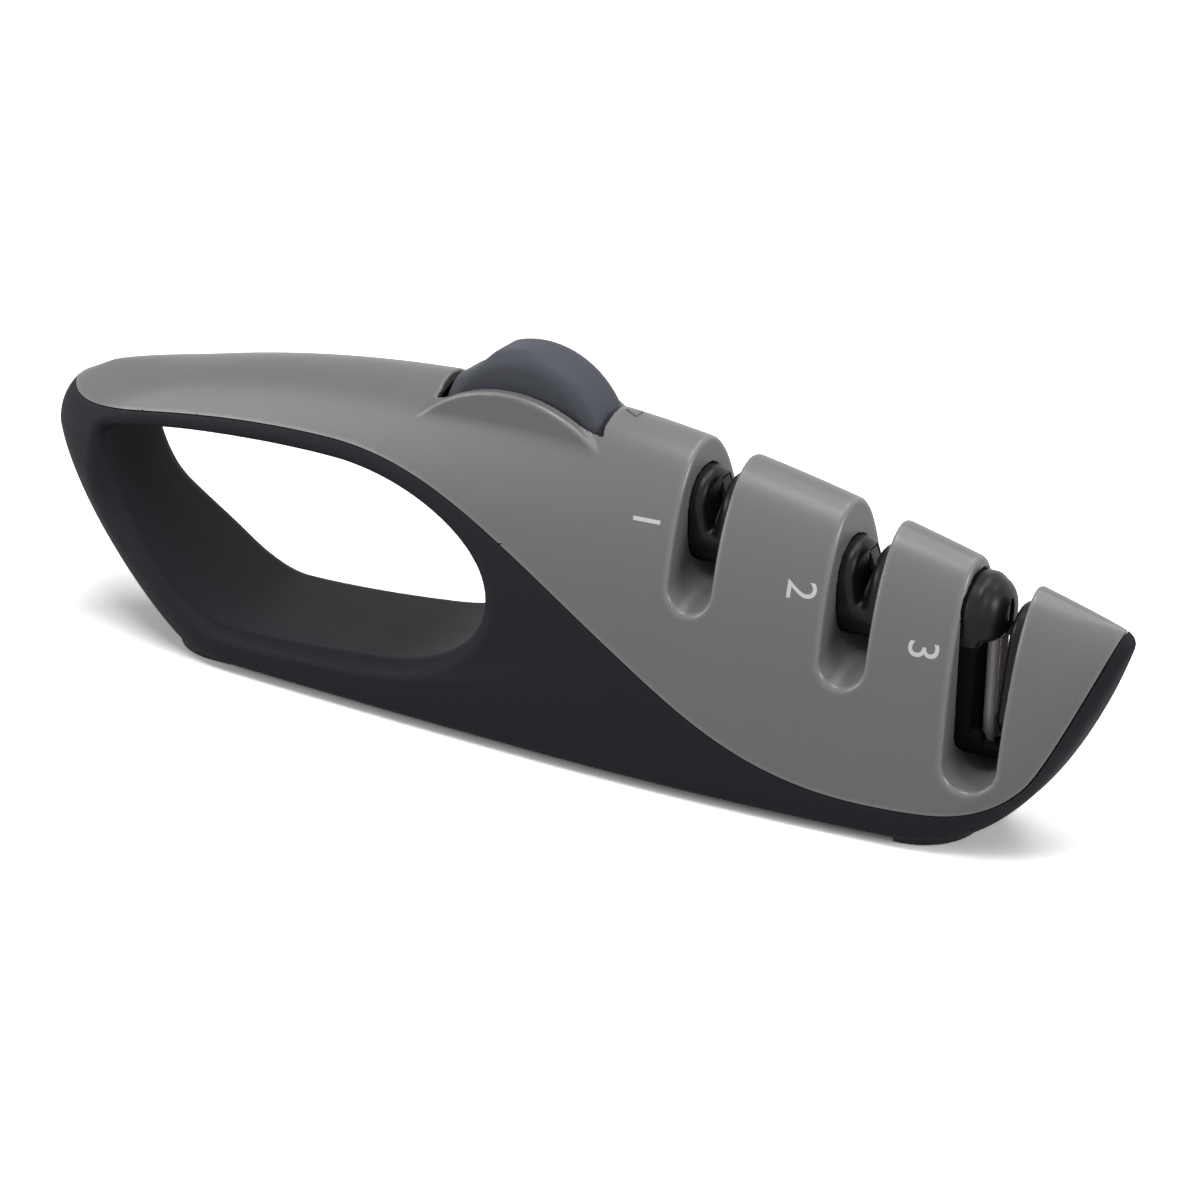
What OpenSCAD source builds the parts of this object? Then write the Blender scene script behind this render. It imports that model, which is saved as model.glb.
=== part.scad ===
// Pull through knife sharpener with a hand loop, three knife slots and an angle dial.
// Millimetres. +X points to the nose, -Y to the near side, +Z up.
// The origin lies on the table, under the middle of the body.

/* [Body] */
// Length of the body from tail to nose
body_len = 250; // [240:1:262]
// Height of the crest of the grey shell
crest_h = 72.8; // [71:0.2:75]
// Place of the crest, as a share of the body length from the middle
crest_share = -0.032; // [-0.048:0.002:-0.016]
// Half width of the body at its widest
half_w = 19.5; // [18.5:0.25:22]
// Height of the flat underside above the table
ride_h = 1.8; // [1.4:0.1:2.2]
// Height of the tip of the nose
nose_h = 47.8; // [46.4:0.2:49.4]
// Radius of the long arc over the handle
crown_r = 345; // [320:5:380]
// Wall of the moulded shell and base
wall = 2.4; // [2:0.1:2.8]
// Open line between the grey shell and the dark base
parting_gap = 0.2; // [0.1:0.05:0.3]

/* [Hand loop] */
// Height of the floor of the loop
loop_floor = 10; // [8.5:0.25:11]
// Height of the roof of the loop
loop_roof = 53; // [52:0.25:54]
// Radius of the rounded rim of the loop
loop_rim_r = 3.4; // [2.4:0.2:4]

/* [Knife slots] */
// Place of the coarse slot, as a share of the body length from the middle
coarse_share = 0.1632; // [0.158:0.0004:0.168]
// Place of the fine slot, as a share of the body length from the middle
fine_share = 0.2908; // [0.286:0.0004:0.296]
// Place of the scissor slot, as a share of the body length from the middle
scissor_share = 0.3948; // [0.392:0.0004:0.3976]
// Width of the coarse and fine slots
slot_w = 9; // [8.8:0.1:10]
// Width of the scissor slot
scissor_w = 10.2; // [10:0.1:10.8]
// Height of the outer lip of the coarse slot
coarse_lip = 39.3; // [38:0.1:40]
// Height of the outer lip of the fine slot
fine_lip = 30.8; // [29.5:0.1:31.5]
// Height of the outer lip of the scissor slot
scissor_lip = 14.6; // [13.5:0.1:15.4]
// Slope of the slot floors down to their lips, in degrees
floor_tilt = 17; // [12:1:19]

/* [Sharpening cartridges] */
// Half width of a cartridge across the body
cart_r = 7.3; // [7:0.1:7.8]
// Height of the coarse and fine cartridges
cart_h = 20.6; // [20:0.1:21.4]
// Length of the coarse and fine cartridges along the body
cart_len = 22; // [21.6:0.1:22.6]
// Width of the knife gap between the cheeks
gap_w = 2.8; // [2.6:0.1:3.2]
// Length of a sharpening arm above its pivot
arm_len = 10.6; // [10:0.1:11]
// Rest angle of the sharpening plates from upright, in degrees
edge_angle = 19; // [17:0.5:20]
// Length of the lever that turns an arm
lever_len = 7.5; // [7.3:0.1:7.8]
// Diameter of the pivot pin of a pair of arms
pin_d = 1.8; // [1.6:0.1:2]

/* [Angle dial] */
// Place of the dial axle, as a share of the body length from the middle
dial_share = -0.01; // [-0.012:0.0004:-0.008]
// Height of the dial axle
dial_z = 61.8; // [61.4:0.1:62.2]
// Radius of the dial
dial_r = 20; // [19.5:0.1:20.3]
// Width of the dial
dial_w = 12.6; // [12:0.1:13]
// Radius of the finger scallop in the dial
scallop_r = 18; // [16:0.5:20]
// Depth of the finger scallop
scallop_d = 1.2; // [0.8:0.1:1.6]
// Diameter of the dial axle
axle_d = 3; // [2.6:0.1:3.4]
// Distance from the axle to the crank pin
crank_r = 5.6; // [5.5:0.1:5.8]
// Largest turn of the dial each way, in degrees
dial_turn = 20; // [16:1:22]

/* [Feet and cover] */
// Thickness of the rubber feet
foot_t = 2.6; // [2.4:0.1:3]
// Thickness of the bottom cover
cover_t = 2; // [1.8:0.1:2.2]
// Shank diameter of the cover screws
screw_d = 2.2; // [2:0.1:2.4]

/* [Hidden] */
$fn = 48;

// Colours as moulded
grey_shell = [0.47, 0.48, 0.47];
dark_base = [0.16, 0.165, 0.18];
slate = [0.35, 0.36, 0.4];
black = [0.08, 0.08, 0.085];
steel = [0.75, 0.75, 0.76];
ceramic = [0.7, 0.66, 0.64];
diamond = [0.5, 0.5, 0.52];

// Clearances
fit = 0.15;
run = 0.05;
air = 0.3;

// Curve helpers
function mix3(a, b, c, d, t) =
    pow(1 - t, 3) * a + 3 * pow(1 - t, 2) * t * b + 3 * (1 - t) * t * t * c + pow(t, 3) * d;
function curve(p, n) = [for (i = [0:n]) mix3(p[0], p[1], p[2], p[3], i / n)];
function swap(table) = [for (q = table) [q[1], q[0]]];
function reversed(list) = [for (i = [len(list) - 1:-1:0]) list[i]];

// The ends of the body, and the places along it that keep their share of its length
tail_x = -body_len / 2;
nose_x = body_len / 2;
crest_x = crest_share * body_len;
coarse_x = coarse_share * body_len;
fine_x = fine_share * body_len;
scissor_x = scissor_share * body_len;
dial_x = dial_share * body_len;
function along(share) = share * body_len;
function drawn(points) = [for (q = points) [along(q[0]), q[1]]];

// Outline of the grey crown, of the sloping strut at the tail and of the undercut nose
strut_end = along(-0.372);
nose_start = along(0.384);
crown_front = curve([[crest_x, crest_h], [along(0.12), crest_h], [along(0.26), 65.2], [nose_x + 0.5, nose_h + 0.4]], 40);
strut_line = curve([[tail_x, 43.5], [along(-0.4872), 31], [along(-0.4152), 8.5], [strut_end, ride_h]], 32);
nose_line = curve([[nose_start, ride_h], [along(0.434), 6.3], [along(0.4748), 27.6], [nose_x, nose_h]], 32);

// Rounded upper corner at the tail
tail_round_x = 10.7;
tail_round_z = 13.8;
tail_mid_x = tail_x + tail_round_x;
tail_mid_z = 43.5;

function rear_crown(x) = crest_h - crown_r + sqrt(crown_r * crown_r - pow(x - crest_x, 2));
function tail_top(x) =
    tail_mid_z + tail_round_z * sqrt(max(0, 1 - pow((x - tail_mid_x) / tail_round_x, 2)));
function crown(x) = x < crest_x ? rear_crown(x) : lookup(x, crown_front);
function top_z(x) = x < tail_mid_x ? min(crown(x), tail_top(x)) : crown(x);

strut_by_z = reversed(swap(strut_line));
nose_by_z = swap(nose_line);
function upper_tail_x(z) =
    z > tail_mid_z + tail_round_z
    ? tail_mid_x
    : tail_mid_x - tail_round_x * sqrt(max(0, 1 - pow((z - tail_mid_z) / tail_round_z, 2)));
function back_x(z) = z < tail_mid_z ? lookup(z, strut_by_z) : upper_tail_x(z);
function front_x(z) = lookup(z, nose_by_z);
function low_z(x) =
    x < strut_end ? lookup(x, strut_line) : x > nose_start ? lookup(x, nose_line) : ride_h;

// Half width of the body at a place along it and a height
arch_power = 2.7;
tail_blend = 24;
nose_blend = 16;
corner_r = 1.5;
thin_edge = 0.25;
plan_mid = along(0.032);
plan_front = 48.125;
plan_rear = 15.625;
function plan_half(x) = half_w - (x > plan_mid ? plan_front : plan_rear) * pow((x - plan_mid) / body_len, 2);
function arch(x, z) = sqrt(max(0, 1 - pow(min(1, max(0, z - 2) / (crown(x) - 2)), arch_power)));
function tail_round(h) = sqrt(1 - pow(1 - min(1, max(0, h / tail_blend)), 2));
function nose_round(h) = pow(1 - pow(1 - min(1, max(0, h / nose_blend)), 3), 1 / 3);
function foot_round(z) = corner_r * (1 - sqrt(1 - pow(1 - min(1, max(0, (z - ride_h) / corner_r)), 2)));
function half_at(x, z) =
    max(thin_edge, plan_half(x) * arch(x, z) * tail_round(x - back_x(z)) * nose_round(front_x(z) - x)
        - foot_round(z));

// Line where the dark base meets the grey shell
parting_line = concat(
    curve(drawn([[-0.5, 51.2], [-0.452, 51.2], [-0.32, 57.3], [-0.18, 57.6]]), 16),
    curve(drawn([[-0.18, 57.6], [-0.076, 57.8], [-0.004, 45.9], [0.128, 24.3]]), 16),
    curve(drawn([[0.128, 24.3], [0.18, 15.9], [0.232, 8], [0.32, 8]]), 12),
    curve(drawn([[0.32, 8], [0.376, 8], [0.412, 9], [0.436, 17]]), 10),
    curve(drawn([[0.436, 17], [0.45, 22], [0.478, 38], [0.5, nose_h + 0.3]]), 10)
);
function parting_z(x) = lookup(x, parting_line);

// Solid between rings of equally many points
module loft(rings) {
    n = len(rings[0]);
    m = len(rings);
    points = [for (r = rings) each r];
    sides = [
        for (i = [0:m - 2]) for (j = [0:n - 1])
            each [
                [i * n + j, i * n + (j + 1) % n, (i + 1) * n + j],
                [(i + 1) * n + j, i * n + (j + 1) % n, (i + 1) * n + (j + 1) % n]
            ]
    ];
    first = [for (j = [n - 1:-1:0]) j];
    last = [for (j = [0:n - 1]) (m - 1) * n + j];
    polyhedron(points, concat(sides, [first], [last]), convexity = 10);
}

// Closed ring across the body at x, from height low to height high, drawn in by inset
function ring(x, low, high, steps, inset, rise) =
    let (near = [
        for (i = [0:steps])
            let (t = i / steps, z = high - (high - low) * pow(1 - t, 2))
            [x, -max(thin_edge, half_at(x, z + rise) - inset), z]
    ])
    concat(near, [for (i = [steps:-1:0]) [x, -near[i][1], near[i][2]]]);
function low_ring(x, low, high, steps) =
    let (near = [
        for (i = [0:steps])
            let (t = i / steps, z = low + (high - low) * pow(t, high - low < 4 ? 1 : 1.6))
            [x, -half_at(x, z), z]
    ])
    concat(near, [for (i = [steps:-1:0]) [x, -near[i][1], near[i][2]]]);

function spread(a, b, n) = [for (i = [0:n]) a + (b - a) * i / n];
tail_stations = [0.1, 0.5, 1.2, 2.3, 3.8, 5.8, 8.2, 11];
nose_stations = [0.1, 0.6, 1.5, 2.8, 4.6, 7, 10, 14, 18, 22.5];
stations = concat(
    [for (s = tail_stations) tail_x + s],
    spread(along(-0.44), along(0.392), 34),
    [for (i = [len(nose_stations) - 1:-1:0]) nose_x - nose_stations[i]]
);
shell_start = tail_x + 2.3;
shell_end = nose_x - 0.6;

// Outer forms of the grey shell and of the dark base
module shell_form() {
    loft([
        for (x = stations) if (x >= shell_start && x <= shell_end)
            ring(x, parting_z(x) + parting_gap / 2, top_z(x), 9, 0, 0)
    ]);
}
module base_form() {
    loft([
        for (x = stations)
            low_ring(x, low_z(x), max(low_z(x) + 0.4, min(parting_z(x) - parting_gap / 2, top_z(x))), 8)
    ]);
}
// Hollow inside the shell, open downwards over the base
module shell_hollow() {
    first = along(-0.452);
    last = along(0.448);
    loft([
        for (x = spread(first, last, 26))
            ring(x, parting_z(x) - 1, top_z(x) - wall, 6, wall, wall * 0.4)
    ]);
}
// Hollow inside the base, in front of the hand loop
base_room_start = along(0.012);
module base_hollow() {
    loft([
        for (x = spread(base_room_start, along(0.428), 20))
            let (low = max(ride_h + cover_t + 1.4, low_z(x) + wall + 1))
            ring(x, low, max(low + 1.5, parting_z(x) + 1), 5, wall + 0.2, 0)
    ]);
}

// Outline of the hand loop, seen from the side
loop_curves = [
    drawn([[-0.412, loop_roof - 5.5], [-0.368, loop_roof - 2.7], [-0.26, loop_roof + 0.2], [-0.18, loop_roof]]),
    drawn([[-0.18, loop_roof], [-0.104, loop_roof + 0.2], [-0.02, 44], [-0.02, 32]]),
    drawn([[-0.02, 32], [-0.02, 22], [-0.068, loop_floor + 4.2], [-0.128, loop_floor + 2.4]]),
    drawn([[-0.128, loop_floor + 2.4], [-0.176, loop_floor + 1], [-0.248, loop_floor - 0.6], [-0.288, loop_floor - 0.2]]),
    drawn([[-0.288, loop_floor - 0.2], [-0.328, loop_floor + 0.2], [-0.364, 19.5], [-0.4, 29.5]]),
    drawn([[-0.4, 29.5], [-0.414, 34.1], [-0.424, 38.5], [-0.426, 42.5]]),
    drawn([[-0.426, 42.5], [-0.4276, 45.5], [-0.424, 47], [-0.412, loop_roof - 5.5]])
];
loop_steps = [8, 10, 8, 5, 10, 4, 5];
loop_outline = [
    for (k = [0:len(loop_curves) - 1]) for (i = [0:loop_steps[k] - 1])
        let (c = loop_curves[k], t = i / loop_steps[k])
        mix3(c[0], c[1], c[2], c[3], t)
];
function loop_normal(i) =
    let (
        n = len(loop_outline),
        d = loop_outline[(i + 1) % n] - loop_outline[(i + n - 1) % n]
    )
    [-d[1], d[0]] / norm(d);
// Each level is a share of the rim radius below the surface, and how far the rim has opened there
rim_levels = [[0, 1], [0.12, 0.525], [0.35, 0.24], [1, 0]];
rim_reach = 1.8;
function loop_point(i, open) = loop_outline[i] + loop_normal(i) * loop_rim_r * open;
function loop_ring(side, level) = [
    for (i = [0:len(loop_outline) - 1])
        let (p = loop_outline[i], q = loop_point(i, level[1]))
        [q[0], side * (half_at(p[0], p[1]) - loop_rim_r * level[0]), q[1]]
];
function loop_cap(side) = [
    for (i = [0:len(loop_outline) - 1])
        let (q = loop_point(i, rim_reach))
        [q[0], side * (half_w + 4), q[1]]
];
module loop_cutter() {
    loft(concat(
        [loop_cap(1)],
        [for (level = rim_levels) loop_ring(1, level)],
        [for (k = [len(rim_levels) - 1:-1:0]) loop_ring(-1, rim_levels[k])],
        [loop_cap(-1)]
    ));
}

// Knife slots: an upright U that slopes down to both sides from the middle
slot_height = 60;
function slot_half(s) = (s == 2 ? scissor_w : slot_w) / 2;
function slot_x(s) = [coarse_x, fine_x, scissor_x][s];
function slot_lip(s) = [coarse_lip, fine_lip, scissor_lip][s];
function slot_lean(s) = s == 2 ? 2.6 : 1.2;
function slot_tilt(s) = floor_tilt + [0, 3, -5][s];
function lip_y(s) = half_at(slot_x(s), slot_lip(s));
function floor_z(s) = slot_lip(s) + lip_y(s) * tan(slot_tilt(s));
module slot_outline(s, grow) {
    r = slot_half(s) + grow;
    translate([0, slot_half(s)]) circle(r);
    translate([0, slot_half(s)])
        polygon([[-r, 0], [r, 0], [r + slot_lean(s), slot_height], [-r, slot_height]]);
}
module slot_cut(s, grow) {
    reach = 30;
    for (side = [-1, 1])
        translate([slot_x(s), side * lip_y(s), slot_lip(s)])
            rotate([-side * slot_tilt(s), 0, 0])
                rotate([90, 0, 0])
                    linear_extrude(2 * reach, center = true) slot_outline(s, grow);
}

// Cartridge heights
function cart_z(s) = floor_z(s) + fit + cart_h / 2;
coarse_z = cart_z(0);
fine_z = cart_z(1);
pivot_drop = 4.5;
module cart_prism(length, r, h) {
    rotate([90, 0, 90])
        linear_extrude(length, center = true) {
            square([2 * r, h - 2 * r], center = true);
            for (side = [-1, 1])
                translate([0, side * (h / 2 - r)]) circle(r);
        }
}

// Angle dial collar and its rib pair
collar_r = 40;
collar_rise = 1.3;
collar_back = 2;
collar_reach = 23;
collar_sink = 8;
dial_gap = 0.35;
collar_half = dial_w / 2 + dial_gap + 1.35;
rib_half = 5.5;
module y_rod(d, length) {
    rotate([90, 0, 0]) cylinder(d = d, h = length, center = true);
}
module collar() {
    intersection() {
        translate([dial_x - collar_back, 0, crest_h + collar_rise - collar_r])
            y_rod(2 * collar_r, 2 * collar_half);
        translate([dial_x - collar_back - collar_reach, -half_w, crest_h - collar_sink])
            cube([2 * collar_reach, 2 * half_w, 2 * collar_sink]);
    }
}
module dial_ribs() {
    for (side = [-1, 1])
        translate([dial_x - rib_half, side * (dial_w / 2 + dial_gap + 1) - 1, dial_z - 4])
            cube([2 * rib_half, 2, crest_h - dial_z + 2]);
}
// Raised outline of a triangle that points at the dial
mark_l = 3.2;
mark_h = 0.35;
module dial_mark() {
    tip = dial_x + dial_r + 0.6;
    translate([tip, 0, crown(tip + mark_l) - 1.2])
        linear_extrude(1.2 + mark_h)
            difference() {
                polygon([[0, 0], [mark_l, 1.4], [mark_l, -1.4]]);
                polygon([[0.9, 0], [mark_l - 0.4, 0.75], [mark_l - 0.4, -0.75]]);
            }
}
module dial_window() {
    translate([dial_x - dial_r + 1.2, -dial_w / 2 - dial_gap, dial_z + 2])
        cube([2 * dial_r - 2.2, dial_w + 2 * dial_gap, 2 * dial_r]);
}

module upper_shell() {
    color(grey_shell)
        difference() {
            union() {
                difference() {
                    shell_form();
                    difference() {
                        shell_hollow();
                        for (s = [0:2]) slot_cut(s, wall);
                        dial_ribs();
                    }
                }
                collar();
                dial_mark();
            }
            for (s = [0:2]) slot_cut(s, 0);
            for (s = [0, 1])
                translate([slot_x(s), 0, cart_z(s)])
                    cart_prism(cart_len + 1, cart_r + fit, cart_h + 2 * fit);
            scissor_seat();
            guard_seat();
            dial_window();
            translate([dial_x, 0, dial_z]) dial_wheel(air);
            translate([dial_x, 0, dial_z]) y_rod(axle_d + 2 * run, dial_w + 6);
        }
}

// Feet and bottom cover places; each foot is round towards its end of the body
rear_foot_x = along(-0.31);
rear_foot_r = 13.5;
rear_foot_l = 11;
front_foot_x = along(0.34);
front_foot_r = 10;
front_foot_l = 4.5;
cover_x0 = along(0.04);
cover_x1 = along(0.308);
cover_w = 24;
cover_r = 3;
screw_in = 4.5;
module rounded_plate(l, w, r, t) {
    linear_extrude(t) {
        square([l - 2 * r, w], center = true);
        square([l, w - 2 * r], center = true);
        for (sx = [-1, 1]) for (sy = [-1, 1])
            translate([sx * (l / 2 - r), sy * (w / 2 - r)]) circle(r);
    }
}
foot_corner = 3;
module foot_plate(r, l, t, grow) {
    corner = foot_corner;
    linear_extrude(t) {
        intersection() {
            circle(r + grow);
            translate([-2 * r, -2 * r]) square([2 * r, 4 * r]);
        }
        translate([0, -r - grow]) square([l - corner, 2 * (r + grow)]);
        translate([0, -r + corner - grow]) square([l + grow, 2 * (r - corner + grow)]);
        for (side = [-1, 1])
            translate([l - corner, side * (r - corner)]) circle(corner + grow);
    }
}
module at_screws() {
    for (x = [cover_x0 + screw_in, cover_x1 - screw_in]) for (side = [-1, 1])
        translate([x, side * (cover_w / 2 - screw_in), 0]) children();
}
cover_l = cover_x1 - cover_x0;
cover_mid = (cover_x0 + cover_x1) / 2;
boss_h = 9;
ledge_x = 8;
ledge_y = 2;
room_h = 8;
groove_pitch = 5;
groove_w = 1.2;
groove_depth = 0.4;
groove_in = 6;

module base_body() {
    color(dark_base) {
        difference() {
            base_form();
            loop_cutter();
            base_hollow();
            translate([spring_seat_x, -spring_y, spring_low]) cube([slit_l, slit_w, slit_h], center = true);
            translate([cover_mid, 0, ride_h - 1])
                rounded_plate(cover_l + 2 * fit, cover_w + 2 * fit, cover_r, cover_t + 1);
            translate([cover_mid, 0, ride_h])
                rounded_plate(cover_l - 2 * ledge_x, cover_w - 2 * ledge_y, cover_r, room_h);
            translate([rear_foot_x, 0, -1])
                foot_plate(rear_foot_r, rear_foot_l, foot_t + 1, fit);
            translate([front_foot_x, 0, -1])
                mirror([1, 0, 0]) foot_plate(front_foot_r, front_foot_l, foot_t + 1, fit);
            at_screws() cylinder(d = screw_d + 2 * run, h = cover_t + boss_h);
        }
        at_screws()
            translate([0, 0, ride_h + cover_t + 1.4])
                difference() {
                    cylinder(d = screw_d + 3.4, h = boss_h);
                    translate([0, 0, -1]) cylinder(d = screw_d + 2 * run, h = boss_h - 1);
                }
    }
}

head_d = 4.4;
head_t = 1.3;
module bottom_cover() {
    color(dark_base)
        difference() {
            translate([cover_mid, 0, ride_h]) rounded_plate(cover_l, cover_w, cover_r, cover_t - run);
            at_screws() cylinder(d = screw_d + 2 * run, h = 10);
            at_screws() translate([0, 0, ride_h - 1]) cylinder(d = head_d + 2 * fit, h = head_t + 1);
            for (i = [-4:4])
                translate([cover_mid + i * groove_pitch, 0, ride_h])
                    cube([groove_w, cover_w - 2 * groove_in, 2 * groove_depth], center = true);
        }
}
module cover_screws() {
    color(steel)
        at_screws() {
            translate([0, 0, ride_h + 0.1]) difference() {
                cylinder(d = head_d, h = head_t - 0.1);
                for (turn = [0, 90]) rotate([0, 0, turn]) cube([2.4, 0.6, 1.4], center = true);
            }
            translate([0, 0, ride_h + head_t - 0.1]) cylinder(d = screw_d, h = boss_h);
        }
}
module rear_foot() {
    color(black) translate([rear_foot_x, 0, 0]) foot_plate(rear_foot_r, rear_foot_l, foot_t - run, 0);
}
module front_foot() {
    color(black)
        translate([front_foot_x, 0, 0])
            mirror([1, 0, 0]) foot_plate(front_foot_r, front_foot_l, foot_t - run, 0);
}

// Angle dial: a sector of a wheel with a crowned rim, a finger scallop and a crank fork
dial_edge = 3;
fork_gap = 2;
slider_t = 1.4;
crank_d = 2;
hub_r = 8;
eye_r = 2.3;
module dial_profile(grow) {
    square([dial_r - dial_edge, dial_w / 2 + grow]);
    square([dial_r + grow, dial_w / 2 - dial_edge]);
    translate([dial_r - dial_edge, dial_w / 2 - dial_edge]) circle(dial_edge + grow);
}
module dial_wheel(grow) {
    rotate([90, 0, 0])
        rotate_extrude($fn = 96) {
            dial_profile(grow);
            mirror([0, 1]) dial_profile(grow);
        }
}
module dial_sector() {
    far = 2 * dial_r;
    rotate([90, 0, 0])
        linear_extrude(2 * dial_w, center = true)
            polygon([
                [0, 0], [far * cos(5), far * sin(5)], [far, far],
                [-far, far], [far * cos(168), far * sin(168)]
            ]);
}
module angle_dial() {
    scallop_angle = 122;
    scallop_c = dial_r - scallop_d + scallop_r;
    color(slate)
        translate([dial_x, 0, dial_z]) {
            difference() {
                union() {
                    intersection() {
                        dial_wheel(0);
                        dial_sector();
                    }
                    y_rod(2 * hub_r, dial_w - 1);
                }
                y_rod(axle_d + 2 * run, 2 * dial_w);
                translate([scallop_c * cos(scallop_angle), 0, scallop_c * sin(scallop_angle)])
                    y_rod(2 * scallop_r, 2 * dial_w);
                translate([0, 0, -crank_r + eye_r + 0.55 - hub_r])
                    cube([4 * hub_r, fork_gap, 2 * hub_r], center = true);
            }
            translate([0, 0, -crank_r]) y_rod(crank_d, fork_gap + 1);
        }
}
module dial_axle() {
    color(steel) translate([dial_x, 0, dial_z]) y_rod(axle_d, dial_w + 2 * dial_gap + 4);
}
// Leaf under the hub that holds the chosen angle; its foot sits in a slit in the base
leaf_t = 0.5;
spring_y = 3.6;
slit_l = 7;
slit_w = 2.4;
slit_h = 12;
spring_seat_x = dial_x - 11.5;
spring_low = parting_z(dial_x - 11.5) + 3.5;
module detent_spring() {
    low = spring_low - 6 + run;
    top = dial_z - hub_r - air;
    color(steel)
        translate([0, -spring_y, 0])
            rotate([90, 0, 0])
                linear_extrude(2, center = true)
                    polygon([
                        [spring_seat_x - 3, low], [spring_seat_x - 3, low + leaf_t],
                        [spring_seat_x + 2.5, low + leaf_t], [spring_seat_x + 5, top - 0.7],
                        [dial_x - 1.5, top], [dial_x + 1.5, top], [dial_x + 4, top - 1],
                        [dial_x + 4, top - 1 - leaf_t], [dial_x + 1.4, top - leaf_t],
                        [dial_x - 1.4, top - leaf_t], [spring_seat_x + 5.4, top - 0.7 - leaf_t],
                        [spring_seat_x + 3, low]
                    ]);
}

// Slider from the dial's crank to the coarse stage, with two sloping cam slots
slider_travel = crank_r * sin(dial_turn);
arm_swing = 5;
cam_rise = lever_len * sin(arm_swing);
cam_slope = atan(cam_rise / slider_travel);
plate_h = 6.4;
pivot_z = coarse_z - pivot_drop;
drive_d = 1.4;
cam_fit = 0.08;
plate_half = lever_len + slider_travel + drive_d / 2 + 1.4;
module slot_hole(half, d, slope) {
    rotate([0, -slope, 0]) {
        cube([2 * half, slider_t + 2, d], center = true);
        for (side = [-1, 1]) translate([side * half, 0, 0]) y_rod(d, slider_t + 2);
    }
}
module cam_slider() {
    eye_z = dial_z - crank_r;
    back_half = cart_len / 2 + slider_travel + 0.6;
    color(steel)
        difference() {
            union() {
                translate([dial_x, 0, eye_z]) y_rod(2 * eye_r, slider_t);
                rotate([90, 0, 0])
                    linear_extrude(slider_t, center = true)
                        polygon([
                            [dial_x, eye_z - 2.2], [dial_x, eye_z + 0.8],
                            [coarse_x - back_half, pivot_z + plate_h / 2],
                            [coarse_x + plate_half, pivot_z + plate_h / 2],
                            [coarse_x + plate_half, pivot_z - plate_h / 2],
                            [coarse_x - back_half, pivot_z - plate_h / 2]
                        ]);
            }
            translate([dial_x, 0, eye_z + 0.15]) slot_hole(0.3, crank_d + 2 * run, 90);
            translate([coarse_x, 0, pivot_z]) {
                slot_hole(slider_travel + fit, pin_d + 2 * cam_fit, 0);
                for (side = [-1, 1])
                    translate([side * lever_len, 0, 0])
                        slot_hole(slider_travel + fit, drive_d + 2 * cam_fit, cam_slope);
            }
        }
}

// One sharpening cartridge: a rounded body with a knife gap and a room for the arms
arm_inner = 0.9;
arm_outer = 4.3;
arm_mid = (arm_inner + arm_outer) / 2;
arm_w = arm_outer - arm_inner;
arm_t = 1.5;
arm_set = 0.25;
plate_t = 1;
hub_d = 4.4;
room_y = 4.7;
room_low = 2.8;
room_top = arm_len + 0.5;
module knife_gap() {
    rotate([90, 0, 0])
        linear_extrude(4 * cart_r, center = true)
            polygon([
                [-0.4, -1.6], [0.4, -1.6], [gap_w / 2, 3], [gap_w / 2 + 0.3, cart_h],
                [-gap_w / 2 - 0.3, cart_h], [-gap_w / 2, 3]
            ]);
}
module arm_room() {
    low_half = lever_len + 1.7;
    top_half = arm_len * sin(edge_angle + arm_swing) + arm_t + 0.4;
    translate([0, 0, -pivot_drop]) cube([2 * low_half, 2 * room_y, 2 * room_low], center = true);
    translate([0, 0, -pivot_drop + room_top / 2]) cube([2 * top_half, 2 * room_y, room_top], center = true);
}
module cartridge(slider_pass) {
    color(black)
        difference() {
            cart_prism(cart_len, cart_r, cart_h);
            knife_gap();
            arm_room();
            translate([0, 0, -pivot_drop]) y_rod(pin_d + 2 * run, 2 * room_y + 2);
            if (slider_pass)
                translate([0, 0, -pivot_drop])
                    cube([2 * cart_len, slider_t + 2 * air, plate_h + 2 * air], center = true);
        }
}
module pivot() {
    color(steel) translate([0, 0, -pivot_drop]) y_rod(pin_d, 2 * room_y + 1.6);
}
// The left arm leans towards the nose; the right one is the same piece turned half round
module arm(drive) {
    color(dark_base)
        translate([0, -arm_mid, -pivot_drop])
            difference() {
                union() {
                    y_rod(hub_d, arm_w);
                    rotate([0, edge_angle, 0])
                        translate([arm_set - arm_t / 2 - 0.25, -arm_w / 2, 1])
                            cube([arm_t, arm_w, arm_len - 1]);
                    translate([-lever_len, -arm_w / 2, -1]) cube([lever_len, arm_w, 2]);
                    translate([-lever_len, 0, 0]) y_rod(2, arm_w);
                    if (drive)
                        translate([-lever_len, arm_w / 2 + arm_inner, 0]) y_rod(drive_d, 2 * arm_inner + 0.8);
                }
                y_rod(pin_d + 2 * run, 3 * arm_w);
            }
}
module plate() {
    color(diamond)
        translate([0, -arm_mid, -pivot_drop])
            rotate([0, edge_angle, 0])
                translate([arm_set - arm_t / 2 - 0.25 - plate_t, -arm_w / 2 + 0.2, hub_d / 2 + 0.3])
                    cube([plate_t, arm_w - 0.4, arm_len - hub_d / 2 - 0.3]);
}
module at_coarse() {
    translate([coarse_x, 0, coarse_z]) children();
}
module at_fine() {
    translate([fine_x, 0, fine_z]) children();
}
module turned() {
    rotate([0, 0, 180]) children();
}
module coarse_cartridge() {
    at_coarse() cartridge(true);
}
module coarse_pivot() {
    at_coarse() pivot();
}
module coarse_arm_left() {
    at_coarse() arm(true);
}
module coarse_arm_right() {
    at_coarse() turned() arm(true);
}
module coarse_plate_left() {
    at_coarse() plate();
}
module coarse_plate_right() {
    at_coarse() turned() plate();
}
module fine_cartridge() {
    at_fine() cartridge(false);
}
module fine_pivot() {
    at_fine() pivot();
}
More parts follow.
